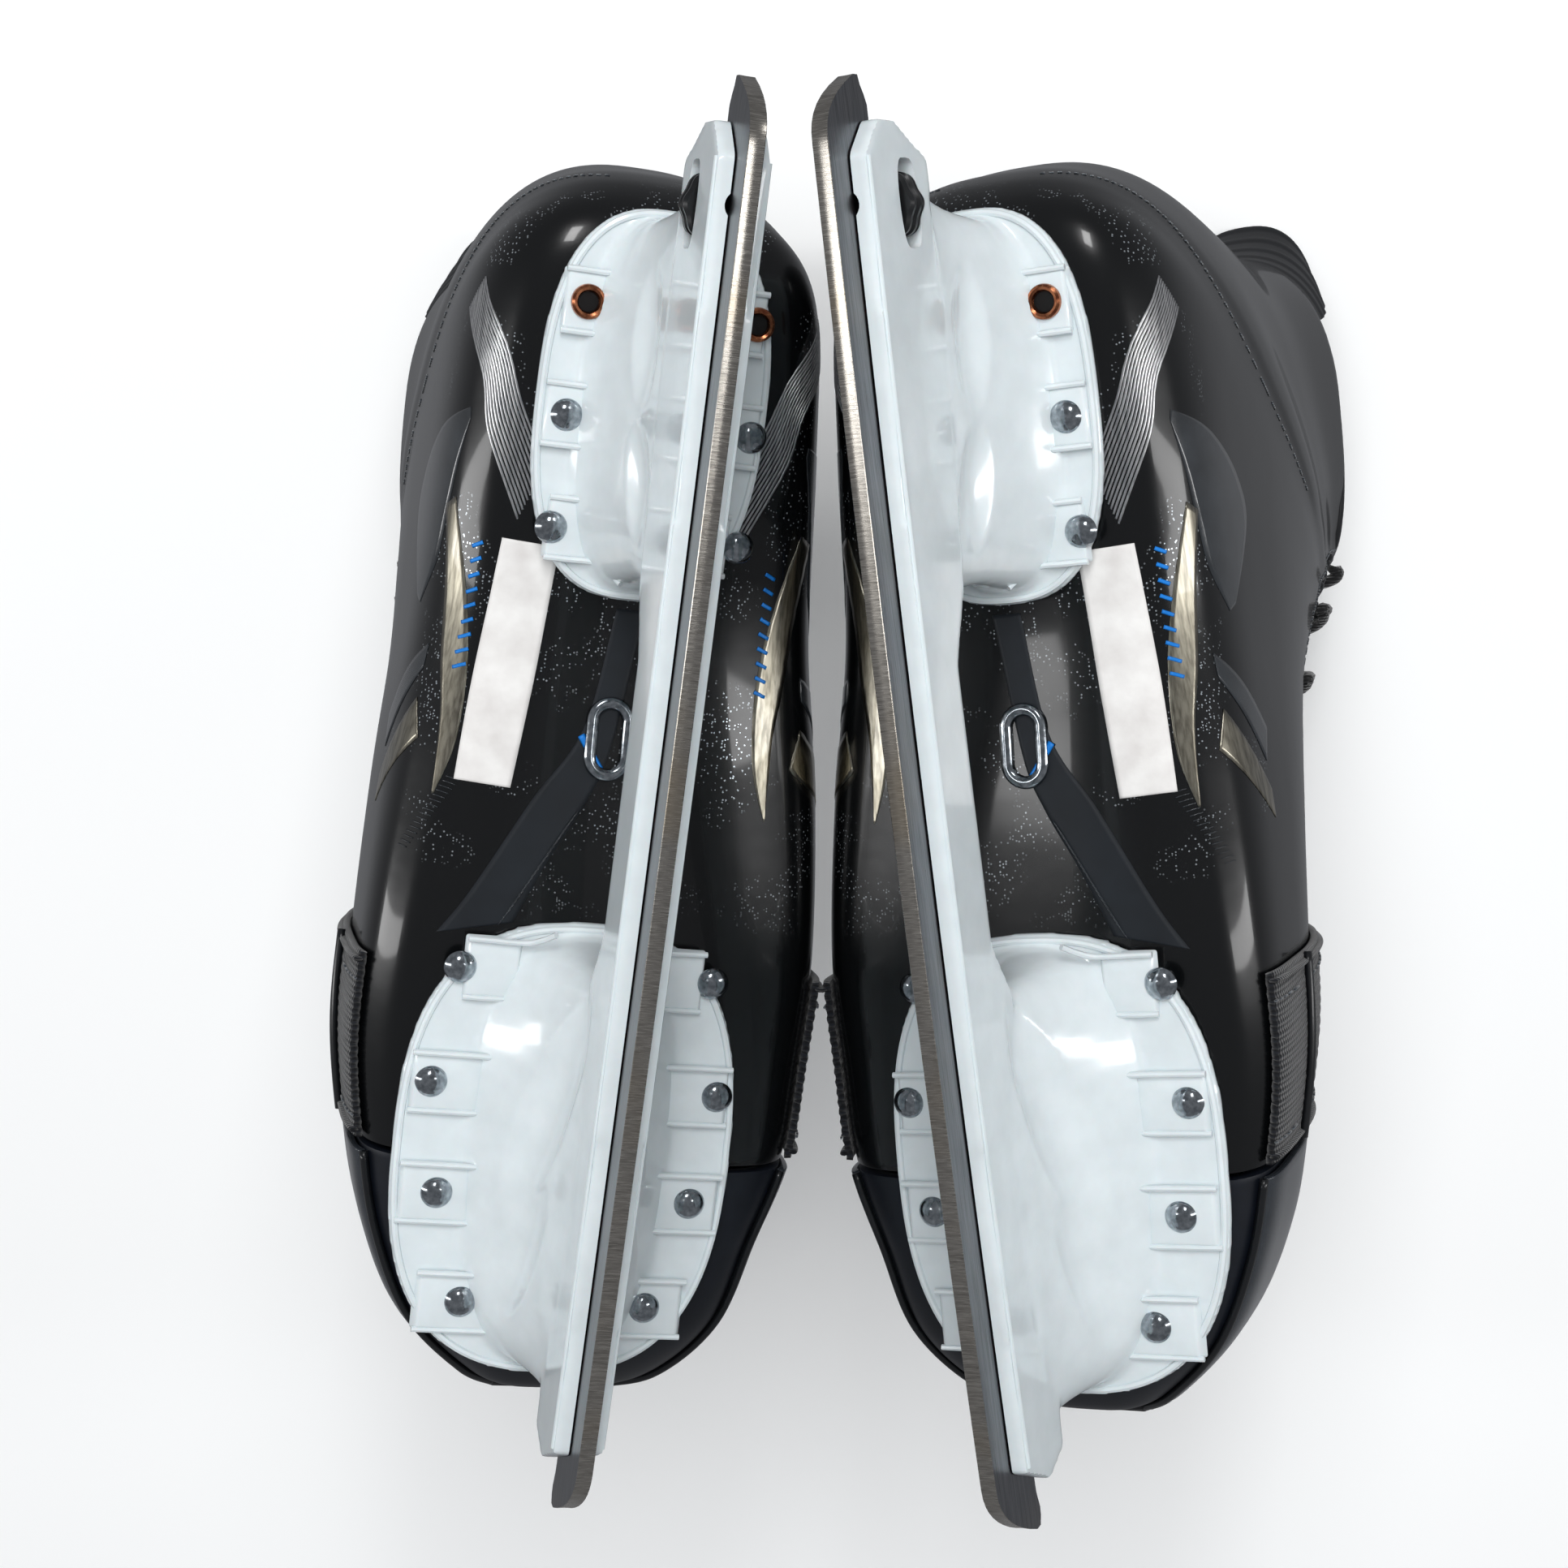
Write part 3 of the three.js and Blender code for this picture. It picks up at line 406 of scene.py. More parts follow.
def curveThrough(points, count):
    # a smooth line through a few places, as evenly numbered points
    points = [Vector(point) for point in points]
    last = len(points) - 1
    found = []
    for i in range(count + 1):
        u = i / count * last
        k = min(int(u), last - 1)
        t = u - k
        a, b, c, d = [points[min(max(j, 0), last)] for j in (k - 1, k, k + 1, k + 2)]
        found.append(0.5 * ((2 * b) + (c - a) * t + (2 * a - 5 * b + 4 * c - d) * t * t
                            + (3 * b - a - 3 * c + d) * t ** 3))
    return found


# --- the boot's surface

plates = {"front": {"z": 59.3, "slope": 0.085, "heel": 28.4, "toe": 121, "lateral": 36, "medial": 33.4},
          "rear": {"z": 66.5, "slope": 0, "heel": -113, "toe": -36, "lateral": 22.7, "medial": 24}, "thickness": 3.2}


def soleFront(y):
    return plates["front"]["z"] - plates["front"]["slope"] * y + plates["thickness"] + 0.3


soleRear = plates["rear"]["z"] + plates["thickness"] + 0.3
soleArch = (soleFront(30) + soleRear) / 2
# toe to heel to cuff: sole line y, z; instep line y, z; half widths outer, inner; widest place; squareness; throat
stations = [
    (133, 70, 133.5, 88, 6, 16, 0.5, 2.4, 2.2, 0),
    (128, 61, 128.5, 101, 14.5, 28, 0.45, 3, 2.4, 0),
    (114, soleFront(106), 114, 112, 28.5, 38, 0.42, 4, 2.4, 0),
    (96, soleFront(96), 96, 117, 37, 43, 0.4, 5, 2.4, 0),
    (78, soleFront(78), 78, 121, 41.5, 48.5, 0.38, 5, 2.3, 2),
    (58, soleFront(58), 58, 127, 44.5, 50, 0.38, 5, 2.3, 13),
    (34, soleFront(34), 40, 135, 44.1, 51, 0.4, 5, 2.2, 17),
    (0, soleArch, 18, 152, 42, 49.5, 0.42, 4.5, 2.2, 19),
    (-34, soleRear, 2, 172, 39, 45.5, 0.44, 4.5, 2.2, 20),
    (-72, soleRear, -8, 190, 38, 42, 0.44, 5, 2.2, 20),
    (-104, soleRear, -13, 202, 37, 39.5, 0.46, 4.5, 2.3, 20),
    (-117, soleRear + 9, -16, 209, 36, 38, 0.48, 3.2, 2.3, 20),
    (-120.7, soleRear + 28, -18, 215, 35, 36, 0.5, 2.8, 2.4, 20),
    (-121.5, soleRear + 50, -20, 220, 33, 34, 0.5, 2.6, 2.4, 20),
    (-115, 152, -21, 225, 31.5, 33, 0.5, 2.5, 2.4, 20),
    (-105, 192, -22, 229, 30, 32, 0.5, 2.5, 2.4, 20),
    (-101, 235, -22, 233, 30, 32, 0.5, 2.5, 2.4, 20),
]
rim = len(stations) - 1
toeJoint = 4  # the station where the toe cap ends and the shell begins
firstEyelet, lastEyelet = toeJoint + 2.3, rim - 0.2
bandEdge, tongueEdge, linerEdge = 0.375, 0.75, 0.875  # how far round the section each layer starts or ends


def along(u):
    k = min(int(u), rim - 1)
    t = u - k
    a, b, c, d = [stations[min(max(j, 0), rim)] for j in (k - 1, k, k + 1, k + 2)]
    values = []
    for p, q, r, s in zip(a, b, c, d):
        values.append((2 * t ** 3 - 3 * t ** 2 + 1) * q + (t ** 3 - 2 * t ** 2 + t) * (r - p) / 2
                      + (3 * t ** 2 - 2 * t ** 3) * r + (t ** 3 - t ** 2) * (s - q) / 2)
    return values


def onBoot(u, turn, inset=0.0, throat=None):
    lowY, lowZ, highY, highZ, lateral, medial, at, base, crown, throatHalf = along(u)
    low, high = Vector((0, lowY, lowZ)), Vector((0, highY, highZ))
    up = (high - low).normalized()
    low, high = low + up * inset, high - up * inset
    half = (medial if turn < 0 else lateral) - inset
    throatHalf = max(throatHalf, 0) if throat is None else throat
    share = abs(turn)
    if share <= 0.5:
        angle = share * math.pi
        x = half * math.sin(angle) ** (2 / base)
        rise = at * (1 - math.cos(angle) ** (2 / base))
    else:
        angle = (share - 0.5) * math.pi
        x = throatHalf + (half - throatHalf) * max(math.cos(angle), 0) ** (2 / crown)
        rise = at + (1 - at) * math.sin(angle) ** (2 / crown)
    place = low.lerp(high, rise)
    place.x = -x if turn < 0 else x
    return place


def evenTurn(share, spread=1.0):
    # crowds the columns where the section is square, so that the sole stays smooth
    t = share * 2 - 1
    return math.copysign(abs(t) ** 1.7, t) * spread


def smoothStep(value, low, high):
    t = min(max((value - low) / (high - low), 0), 1)
    return t * t * (3 - 2 * t)


# --- boot shell


def shellRelief(u, turn):
    share = abs(turn)
    facing = 0.7 * smoothStep(share, 0.78, 0.82)  # the eyestay stands proud
    counter = 0.5 * smoothStep(u, 11.2, 11.6) * (1 - smoothStep(share, 0.62, 0.7))  # the heel counter's edge
    ankleBulge = 0.8 * math.exp(-((u - 12.2) / 1.1) ** 2 - ((share - 0.5) / 0.14) ** 2)
    return -(facing + counter + ankleBulge)


shellStart = toeJoint + 0.02
shellFace = sheet(120, 112, (0, -10, 120), lambda s, t: onBoot(
    shellStart + s * (rim - shellStart), evenTurn(t),
    shellRelief(toeJoint + s * (rim - toeJoint), evenTurn(t)) * min(1, 8 * s)))
bootTree = BVHTree.FromBMesh(shellFace)
putOn("boot_shell_skin", shellFace, "boot", nodes=["boot_shell"], modifiers=[wall(3.3), rounded(0.5)])


def snapped(point, lift):
    place, normal, _, _ = bootTree.find_nearest(Vector(point))
    return place + normal * lift


def decal(name, edgeA, edgeB, finish, rows=40, columns=6, lift=0.12, thickness=0.2):
    first, second = curveThrough(edgeA, rows), curveThrough(edgeB, rows)
    face = sheet(rows, columns, (0, -20, 130), lambda s, t: snapped(
        first[round(s * rows)].lerp(second[round(s * rows)], t), lift))
    putOn(name, face, finish, modifiers=[wall(thickness)])


def lineOn(points, radius, lift=0.1, count=50, bm=None, flat=0.5):
    route = [snapped(point, lift) for point in curveThrough(points, count)]
    ups = [bootTree.find_nearest(point)[1] for point in route]
    return sweep(bm or bmesh.new(), route, circle(radius, 6, flat), up=ups)


# pinstripes round the rear quarters, fanned from the ankle to the sole
fan = bmesh.new()
stripes = 12
for side in flanks.values():
    for i in range(stripes):
        s = i / (stripes - 1)
        upper = Vector((28.1, -84, 74.5)).lerp(Vector((31.6, -77.5, 76.8)), s)
        middle = Vector((24.6, -72.4, 71.6)).lerp(Vector((29.6, -65.5, 74.2)), s)
        low = Vector((18.5, -60.5, 70)).lerp(Vector((23, -49.5, 70)), s)
        top = upper + (upper - middle) * 0.9 + Vector((1.5, -1, 4 + 2 * s))
        route = [Vector((point.x * side, point.y, point.z)) for point in (top, upper, middle, low)]
        lineOn(route, 0.3, 0.05, 34, fan)
putOn("quarter_pinstripes", fan, "silver", sharp=None)

# accent panels: a pale wedge, a chevron and a dark ankle film on each side
accents = [
    # name, lower edge, upper edge, finish, rows, columns, lift
    ("foil_wedge", [(33, -52, 79.5), (29.5, -24.2, 72.4), (30, -5.7, 68.9), (33.4, 6.4, 68.1)],
     [(34.5, -50, 82), (34.6, -23.5, 75.8), (33.6, -9, 71.2), (33.7, 6.6, 68.3)], "champagne", 40, 6, 0.12),
    ("foil_chevron", [(37.2, -11, 77.6), (39.5, -1, 84), (41.5, 7.8, 90.6)],
     [(36.8, -3.5, 73.7), (39.4, 5, 81), (41.8, 13.5, 90)], "champagne", 20, 8, 0.16),
    ("ankle_film", [(33, -70, 78), (36.5, -64, 92), (37.9, -55, 104), (38, -45, 107), (38.4, -30, 92)],
     [(33, -68, 77.5), (34.4, -58, 79.5), (35.4, -48, 81), (36.4, -38, 83), (38, -29, 88.5)], "ankle", 50, 12, 0.12),
    ("upper_film", [(36.5, -22, 79), (39.5, -14, 88), (41, -4, 96)],
     [(37.2, -17, 78.5), (39.6, -9, 84), (41.2, 2, 91)], "ankle", 24, 6, 0.16),
]
for tag, side in flanks.items():
    for name, *edges, finish, rows, columns, lift in accents:
        decal(f"{tag}_{name}", *[[(x * side, y, z) for x, y, z in edge] for edge in edges], finish, rows, columns, lift)
    # plain blue bars in a row
    bars = bmesh.new()
    for i in range(9):
        base = Vector((28.6 * side, -44 + i * 3.1, 73.6))
        lineOn([base, base + Vector((1.9 * side, 1.1, 1.1))], 0.42, 0.1, 4, bars, 0.3)
    putOn(f"{tag}_blue_bars", bars, "blue", sharp=None)
print("boot shell done")

# matt band under the arch, a mesh of ticks on it, and the blue slash
decal("arch_band", [(1, -34, 70), (5.2, -10, 67), (14.5, 5.5, 65), (25.1, 24.5, 62.4), (31, 33, 61)],
      [(-5, -34, 70), (-0.5, -6, 66.5), (3.5, 5, 64.6), (10, 17, 63), (16, 30, 61.6)], "matte", 60, 8)
ticks = bmesh.new()
tickRows = [
    # how many, first tick, last tick, one tick's run, lift
    (22, (5, 7, 64.4), (16.5, 27, 61.8), (2.4, 3.6, -0.6), 0.34),
    (16, (29, 3.2, 67), (37, 18, 68.5), (2.6, -0.6, 0.6), 0.16),
]
for count, first, last, run, lift in tickRows:
    for i in range(count):
        start = Vector(first).lerp(Vector(last), i / (count - 1))
        lineOn([start, start + Vector(run)], 0.12, lift, 3, ticks)
putOn("arch_ticks", ticks, "ankle", sharp=None)
slash = bmesh.new()
lineOn([(0.4, -0.4, 65.3), (5.8, -8.2, 66.9)], 0.75, 0.36, 8, slash, 0.35)
putOn("blue_slash", slash, "blue", sharp=None)
# blank stuck-on label along the arch
decal("blank_label", [(14, -45, 70), (16, -20, 70), (19, 3.5, 65.5)],
      [(25.5, -45.5, 71.2), (28, -20, 70.5), (30, 3, 67.2)], "label", 50, 12, 0.3, 0.15)
# stitching along the eyestay and the heel seam, as short raised threads
stitches = bmesh.new()
heelStitches = 46
for side in flanks.values():
    for turn in (0.83, 0.95):
        u = 5.2
        while u < rim - 0.15:
            lineOn([onBoot(u, turn * side), onBoot(u + 0.1, turn * side)], 0.3, 0.1, 2, stitches)
            u += 0.17
    for i in range(heelStitches):
        s = i / (heelStitches - 1)
        u = 11.3 + 0.18 * math.sin(s * 6)
        a = onBoot(u, (0.05 + 0.57 * s) * side)
        b = onBoot(u + 0.01, (0.05 + 0.57 * (s + 0.55 / (heelStitches - 1))) * side)
        lineOn([a, b], 0.28, 0.1, 2, stitches)
putOn("shell_stitching", stitches, "stitch", sharp=None)

# rolled binding round the throat and the cuff
edging = [onBoot(u / 10, 1, 1.6) for u in range(46, rim * 10 + 1, 2)]
cuffLine = [onBoot(rim, 1 - i / 40, 1.6) for i in range(1, 80)]
edging += cuffLine + [onBoot(u / 10, -1, 1.6) for u in range(rim * 10, 45, -2)]
putOn("cuff_binding", sweep(bmesh.new(), edging, circle(2.1, 12), up=Vector((0.01, 1, 0.3))), "rail",
      sharp=None)
eyelets = bmesh.new()
eyeletProfile = [(1.6, -0.4), (1.6, 0.9), (2.1, 1.15), (2.9, 0.8), (3.1, 0.5), (3.1, -0.4), (1.6, -0.4)]
for i in range(8):
    for side in flanks.values():
        centre = onBoot(firstEyelet + i * 1.25, 0.9 * side)
        normal = bootTree.find_nearest(centre)[1]
        eyelet = lathe(eyeletProfile, 20)
        turned = Matrix.Translation(centre + normal * 0.3) @ normal.to_track_quat("Z", "Y").to_matrix().to_4x4()
        bmesh.ops.transform(eyelet, matrix=turned, verts=eyelet.verts)
        merged(eyelets, eyelet)
putOn("eyelets", eyelets, "rail", sharp=None)
print("graphics and trim done")

# --- toe cap, rail and shield


def onToe(u, turn, inset=0.0):
    if u >= 0:
        return onBoot(u, turn, inset, throat=0)
    place = onBoot(0, turn, inset, throat=0)
    middle = Vector((-1.5, 133.2, 79))
    return middle.lerp(place, math.cos(-u * math.pi / 2)) + Vector((0, 0.9 * math.sin(-u * math.pi / 2), 0))


toeFace = sheet(76, 112, (0, 100, 90), lambda s, t: onToe(s * 4.95 - 1, evenTurn(t), -0.05))
putOn("toe_cap_skin", toeFace, "cap", nodes=["toe_cap"], modifiers=[wall(2.8), rounded(0.4)])


def toeRoute(r, turn, inset):
    u = abs(r) * 3.9
    place = onBoot(u, math.copysign(turn, r), inset, throat=0)
    place.y -= inset * max(0, 1 - u / 2)
    return place


def shieldPlace(s, t):
    r = 1 - 2 * s
    return toeRoute(r if abs(r) > 1e-6 else 1e-6, 0.37 + 0.26 * t, -2.0 + 0.9 * (2 * t - 1) ** 4)


shield = sheet(70, 14, (0, 90, 85), shieldPlace)
putOn("toe_shield_skin", shield, "smoke", nodes=["toe_shield"], modifiers=[wall(1.5), rounded(0.3)])
rail = bmesh.new()
for turn in (0.36, 0.64):
    sweep(rail, [toeRoute(1 - i / 40 or 1e-6, turn, -0.9) for i in range(81)], circle(0.9, 8))
putOn("toe_rail", rail, "rail", sharp=None)

# --- webbing band with stitched hems and a glossy edge rail

band = {"heel": 39, "toe": 77, "ribs": 1.1}


def stationAt(y):
    low, high = 0.0, 9.0
    for _ in range(30):
        middle = (low + high) / 2
        low, high = (middle, high) if along(middle)[0] > y else (low, middle)
    return low


bandFrom, bandTo = stationAt(band["toe"]), stationAt(band["heel"])


def acrossThroat(u, t, lowest, inset):
    # t runs from the outer side, over the open throat, to the inner side
    sign = 1 if t < 0.5 else -1
    s = t * 2 if t < 0.5 else (1 - t) * 2
    flatShare = 0.82
    if s <= flatShare:
        return onBoot(u, sign * (lowest + (1 - lowest) * s / flatShare), inset)
    edge = onBoot(u, sign, inset)
    edge.x *= 1 - (s - flatShare) / (1 - flatShare)
    return edge


def bandStation(share):
    return bandFrom + (bandTo - bandFrom) * share


webbing = sheet(60, 96, (0, 58, 95), lambda s, t: acrossThroat(
    bandStation(s), t, bandEdge, -1.75 - 0.12 * math.cos(s * (band["toe"] - band["heel"]) / band["ribs"] * math.pi)))
putOn("forefoot_webbing", webbing, "webbing", nodes=["forefoot_band"], modifiers=[wall(1.4)])
hems = bmesh.new()
bandStitches = bmesh.new()
for share in (0.04, 0.96):
    u = bandStation(share)
    hem = [acrossThroat(u, t / 80, bandEdge, -2.0) for t in range(81)]
    sweep(hems, hem, circle(0.9, 8, 0.6), up=Vector((0.01, 1, 0)))
for share in (0.13, 0.87):
    u = bandStation(share)
    for i in range(60):
        a, b = [acrossThroat(u, place / 60, bandEdge, -2.05) for place in (i, i + 0.6)]
        sweep(bandStitches, [a, a.lerp(b, 0.5), b], circle(0.28, 5), up=Vector((0.01, 1, 0)))
putOn("band_hems", hems, "webbing", sharp=None)
putOn("band_stitching", bandStitches, "stitch", sharp=None)
tabs = bmesh.new()
for side in flanks.values():
    sweep(tabs, [onBoot(bandStation(s / 20), 0.5 * side, -2.5) for s in range(21)], circle(1.1, 8, 0.8),
          up=Vector((side, 0, 0.01)))
putOn("band_edge_rail", tabs, "rail", sharp=None)
print("toe done")

# --- lining, footbed, tongue, tendon guard


def layerDepth(turn, onWall, onFloor):
    return onFloor + (onWall - onFloor) * smoothStep(abs(turn), 0.37, 0.6)


def linerPlace(s, t):
    turn = evenTurn(t, linerEdge)
    return onBoot(7 + 9 * s, turn, layerDepth(turn, 3.8, 5.7) + 0.4 * noise.noise(Vector((s * 9, t * 14, 0))))


putOn("liner_padding", sheet(80, 80, (0, -10, 140), linerPlace), "lining", nodes=["liner"],
      modifiers=[wall(2.3), rounded(0.8, 3)])
collar = [onBoot(rim, linerEdge * (i / 30 - 1), 5) for i in range(61)]
putOn("collar_roll", sweep(bmesh.new(), collar, circle(1.7, 10), up=Vector((0.01, 0.01, 1))), "lining",
      sharp=None)
boardFace = sheet(40, 12, (0, 0, 140), lambda s, t: onBoot(4.5 + 4.5 * s, (2 * t - 1) * 0.25, 3.75))
putOn("insole_board_sheet", boardFace, "board", nodes=["insole_board"],
      modifiers=[wall(1.5), rounded(0.3)])
bedFace = sheet(50, 16, (0, 0, 140), lambda s, t: onBoot(
    2 + 7 * s, (2 * t - 1) * 0.25, 8.6 + 0.3 * math.sin(t * math.pi)))
putOn("footbed_pad", bedFace, "foam", nodes=["footbed"], modifiers=[wall(2.7), rounded(0.7, 3)])


def tongueWave(s, t):
    return 0.35 * noise.noise(Vector((s * 12, t * 5, 3)))


tongueFace = sheet(90, 30, (0, -10, 60), lambda s, t: acrossThroat(3 + 13 * s, t, tongueEdge, 6.8 + tongueWave(s, t)))
putOn("tongue_pad", tongueFace, "felt", nodes=["tongue"], modifiers=[wall(6.6), rounded(1.5, 3)])


def tongueLeaf(s, t):
    place = acrossThroat(rim, t, tongueEdge, 6.8 + tongueWave(s * 0.3 + 1, t) * min(1, 4 * s))
    out = place.x / 32
    place.x *= 1 - 0.35 * s ** 3
    place.y += 10 * s ** 2
    place.z += 0.3 + 41 * s * (1 - 0.2 * out ** 2) - 3.3 * s
    return place


putOn("tongue_top_pad", sheet(40, 30, (0, -60, 250), tongueLeaf), "felt",
      body=("tongue_top", [(0, -28.6, 233.5), (0, -28.6, 240)]), nodes=["tongue_top"],
      modifiers=[wall(6.4), rounded(2.2, 3)])


def guardLeaf(s, t):
    turn = (2 * t - 1) * 0.34
    place = onBoot(rim, turn, 0.1 - 0.45 * max(0, math.cos(s * 5 * math.tau)) * smoothStep(s, 0.1, 0.2))
    place.x *= 1 - 0.3 * s ** 2
    place.y -= 9 * s ** 2
    place.z += 0.3 + 41.3 * s * (1 - 1.6 * turn ** 2)
    return place


putOn("tendon_guard_leaf", sheet(60, 32, (0, -60, 250), guardLeaf), "guard",
      body=("tendon_guard", [(0, -101, 235.3), (0, -101, 242)]), nodes=["tendon_guard"],
      modifiers=[wall(3.0), rounded(0.9, 3)])

# --- lace

eyeletRun = [onBoot(firstEyelet + i / 60 * (lastEyelet - firstEyelet), 1) for i in range(61)]
eyeletRun = [Vector((0, point.y, point.z)) for point in eyeletRun]
lengths = [0]
for a, b in zip(eyeletRun, eyeletRun[1:]):
    lengths.append(lengths[-1] + (b - a).length)


def eyeletStation(share):
    goal = share * lengths[-1]
    i = max(1, next((k for k, run in enumerate(lengths) if run >= goal - 1e-9), 60))
    mixed = (i - 1 + (goal - lengths[i - 1]) / (lengths[i] - lengths[i - 1])) / 60
    return firstEyelet + mixed * (lastEyelet - firstEyelet)


laceRoute = []
for i in range(8):
    side = -1 if i % 2 else 1
    for step, turn in ((0, 0.97 * side), (0.5, -0.97 * side), (0.75, -0.86 * side)):
        laceRoute.append(onBoot(eyeletStation(min((i + step) / 8, 1)), turn, -3.1))
laceRoute = curveThrough(laceRoute, 340)
putOn("lace_cord", sweep(bmesh.new(), laceRoute, circle(1.75, 8, 0.75), up=Vector((0.02, 1, 0.6))), "lace",
      nodes=["lace"], sharp=None)
print("soft pieces done")

# --- blade holder

holder = {"width": 9.6, "heel": -127.5, "toe": 126, "bridge": 25, "slot": 3.6, "windowBottom": 23.5, "windowTop": 32.5,
          "voxel": 0.95}
runnerSize = {"length": 271, "thickness": 3, "rocker": 3000, "shown": 8, "inSlot": 11, "heelRise": 14.6, "toeRise": 20}


def rocker(y):
    return y ** 2 / (2 * runnerSize["rocker"])


def plateUnder(key, y):
    return plates[key]["z"] - plates[key]["slope"] * y


def ring(shape, height, square, count):
    points = []
    for i in range(count):
        angle = i / count * math.tau
        c, s = math.cos(angle), math.sin(angle)
        x = math.copysign(abs(c) ** (2 / square), c) * (shape["lateral"] if c > 0 else shape["medial"])
        y = (shape["heel"] + shape["toe"]) / 2
        y += math.copysign(abs(s) ** (2 / square), s) * (shape["toe"] - shape["heel"]) / 2
        points.append(Vector((x, y, height(y))))
    return points


def stack(bm, loops):
    # a body through rings of equal length: each ring is the last one extruded and moved to its place
    verts = [bm.verts.new(point) for point in loops[0]]
    edges = [bm.edges.new((verts[k], verts[k - 1])) for k in range(len(verts))]
    bmesh.ops.contextual_create(bm, geom=edges)
    for loop in loops[1:]:
        verts, edges = grow(bm, verts, edges, loop, -1)
    bmesh.ops.contextual_create(bm, geom=edges)
    return bm


def tower(bm, key, foot):
    plate = plates[key]
    loops = []
    for i in range(15):
        level = i / 14
        flare = 0.56 * level ** 2.2
        waist = 2 * math.sin(level * math.pi)
        shape = {"heel": foot["heel"] + (plate["heel"] + 2 - foot["heel"]) * level + waist,
                 "toe": foot["toe"] + (plate["toe"] - 2 - foot["toe"]) * level - waist,
                 "lateral": (half - 0.2) + (plate["lateral"] - half + 0.2) * flare,
                 "medial": (half - 0.2) + (plate["medial"] - half + 0.2) * flare}
        loops.append(ring(shape, lambda y: foot["z"] + (plateUnder(key, y) + 0.5 - foot["z"]) * level, 2.7, 48))
    return stack(bm, loops)


def flatBar(bm, outline, x0, x1):
    verts = [bm.verts.new((x0, y, z)) for y, z in outline]
    face = bm.faces.new(verts)
    grown = bmesh.ops.extrude_face_region(bm, geom=[face])["geom"]
    bmesh.ops.translate(bm, verts=[item for item in grown if isinstance(item, bmesh.types.BMVert)], vec=(x1 - x0, 0, 0))
    return bm


half = holder["width"] / 2
lowEdge = [holder["heel"] + 6 + i / 24 * (holder["toe"] - holder["heel"] - 12) for i in range(25)]
lowEdge = [(y, runnerSize["shown"] + rocker(y)) for y in lowEdge]
barOutline = [(holder["heel"], runnerSize["heelRise"] + 3), *lowEdge, (holder["toe"], runnerSize["toeRise"] + 2),
              (holder["toe"] - 3, holder["bridge"] + 6), (plates["front"]["heel"] + 6, holder["bridge"] + 8),
              (plates["front"]["heel"] - 6, holder["bridge"]), (plates["rear"]["toe"] + 6, holder["bridge"]),
              (plates["rear"]["toe"] - 8, holder["bridge"] + 8), (-121, holder["windowTop"] + 7),
              (holder["heel"], holder["windowBottom"] + 2)]
body = bmesh.new()
flatBar(body, barOutline, -half, half)
tower(body, "front", {"heel": plates["front"]["heel"] + 4, "toe": holder["toe"] - 4, "z": holder["bridge"] - 8})
tower(body, "rear", {"heel": -120, "toe": plates["rear"]["toe"] - 6, "z": holder["windowTop"]})
for key in ("front", "rear"):
    stack(body, [ring(plates[key], lambda y, rise=rise: plateUnder(key, y) + rise, 2.6, 96)
                 for rise in (0.25, plates["thickness"])])
bmesh.ops.recalc_face_normals(body, faces=body.faces)


def shapedBy(bm, modifiers, name):
    mesh = bpy.data.meshes.new(name)
    bm.to_mesh(mesh)
    bm.free()
    piece = bpy.data.objects.new(name, mesh)
    bpy.context.scene.collection.objects.link(piece)
    for kind, settings in modifiers:
        modifier = piece.modifiers.new(kind.title(), kind)
        for key, value in settings.items():
            setattr(modifier, key, value)
    bpy.context.view_layer.update()
    result = bpy.data.meshes.new_from_object(piece.evaluated_get(bpy.context.evaluated_depsgraph_get()))
    bpy.data.objects.remove(piece)
    shaped = bmesh.new()
    shaped.from_mesh(result)
    bpy.data.meshes.remove(result)
    return shaped


body = shapedBy(body, [("REMESH", {"mode": "VOXEL", "voxel_size": holder["voxel"]}),
                       ("SMOOTH", {"factor": 0.6, "iterations": 4})], "holderBlank")
# flow lines and hollows moulded in the towers' flanks
hollows = [
    # y, z, long, tall, slope, depth
    (58, 36, 26, 7.5, 0.25, 2.4),
    (92, 40, 17, 6, 0.3, 1.6),
    (-58, 42, 15, 7, -0.25, 2.2),
    (-88, 47, 14, 6, -0.1, 1.6),
]
keptCore = 3.2  # half width that the hollows leave whole round the slot
for vert in body.verts:
    if abs(vert.co.x) < keptCore:
        continue
    for y, z, long, tall, slope, depth in hollows:
        dy = vert.co.y - y
        dz = vert.co.z - z - slope * dy
        r = (dy / long) ** 2 + (dz / tall) ** 2
        if r < 1:
            vert.co.x -= math.copysign(depth * (1 - r) ** 1.2 * min(1, (abs(vert.co.x) - keptCore) / 2), vert.co.x)

slotTop = [137.5 - i * 11 for i in range(26)]
slotTop = [(y, runnerSize["shown"] + runnerSize["inSlot"] + rocker(y) + 0.3) for y in slotTop]
cutters = bmesh.new()
flatBar(cutters, [(-145, -1), (145, -1), *slotTop], -holder["slot"] / 2, holder["slot"] / 2)
window = []
for i in range(40):
    angle = i / 40 * math.tau
    height = 28 + 4.5 * math.copysign(abs(math.sin(angle)) ** 0.45, math.sin(angle))
    window.append((lock["y"] - 8 * math.cos(angle), height))
flatBar(cutters, window, -30, 30)
merged(cutters, lathe([(0, 5), (2.6, 5), (2.6, 41), (0, 41)], 24, (0, lock["y"], 0)))
bmesh.ops.recalc_face_normals(cutters, faces=cutters.faces)
cutterMesh = bpy.data.meshes.new("cutter")
cutters.to_mesh(cutterMesh)
cutters.free()
cutter = bpy.data.objects.new("cutter", cutterMesh)
bpy.context.scene.collection.objects.link(cutter)
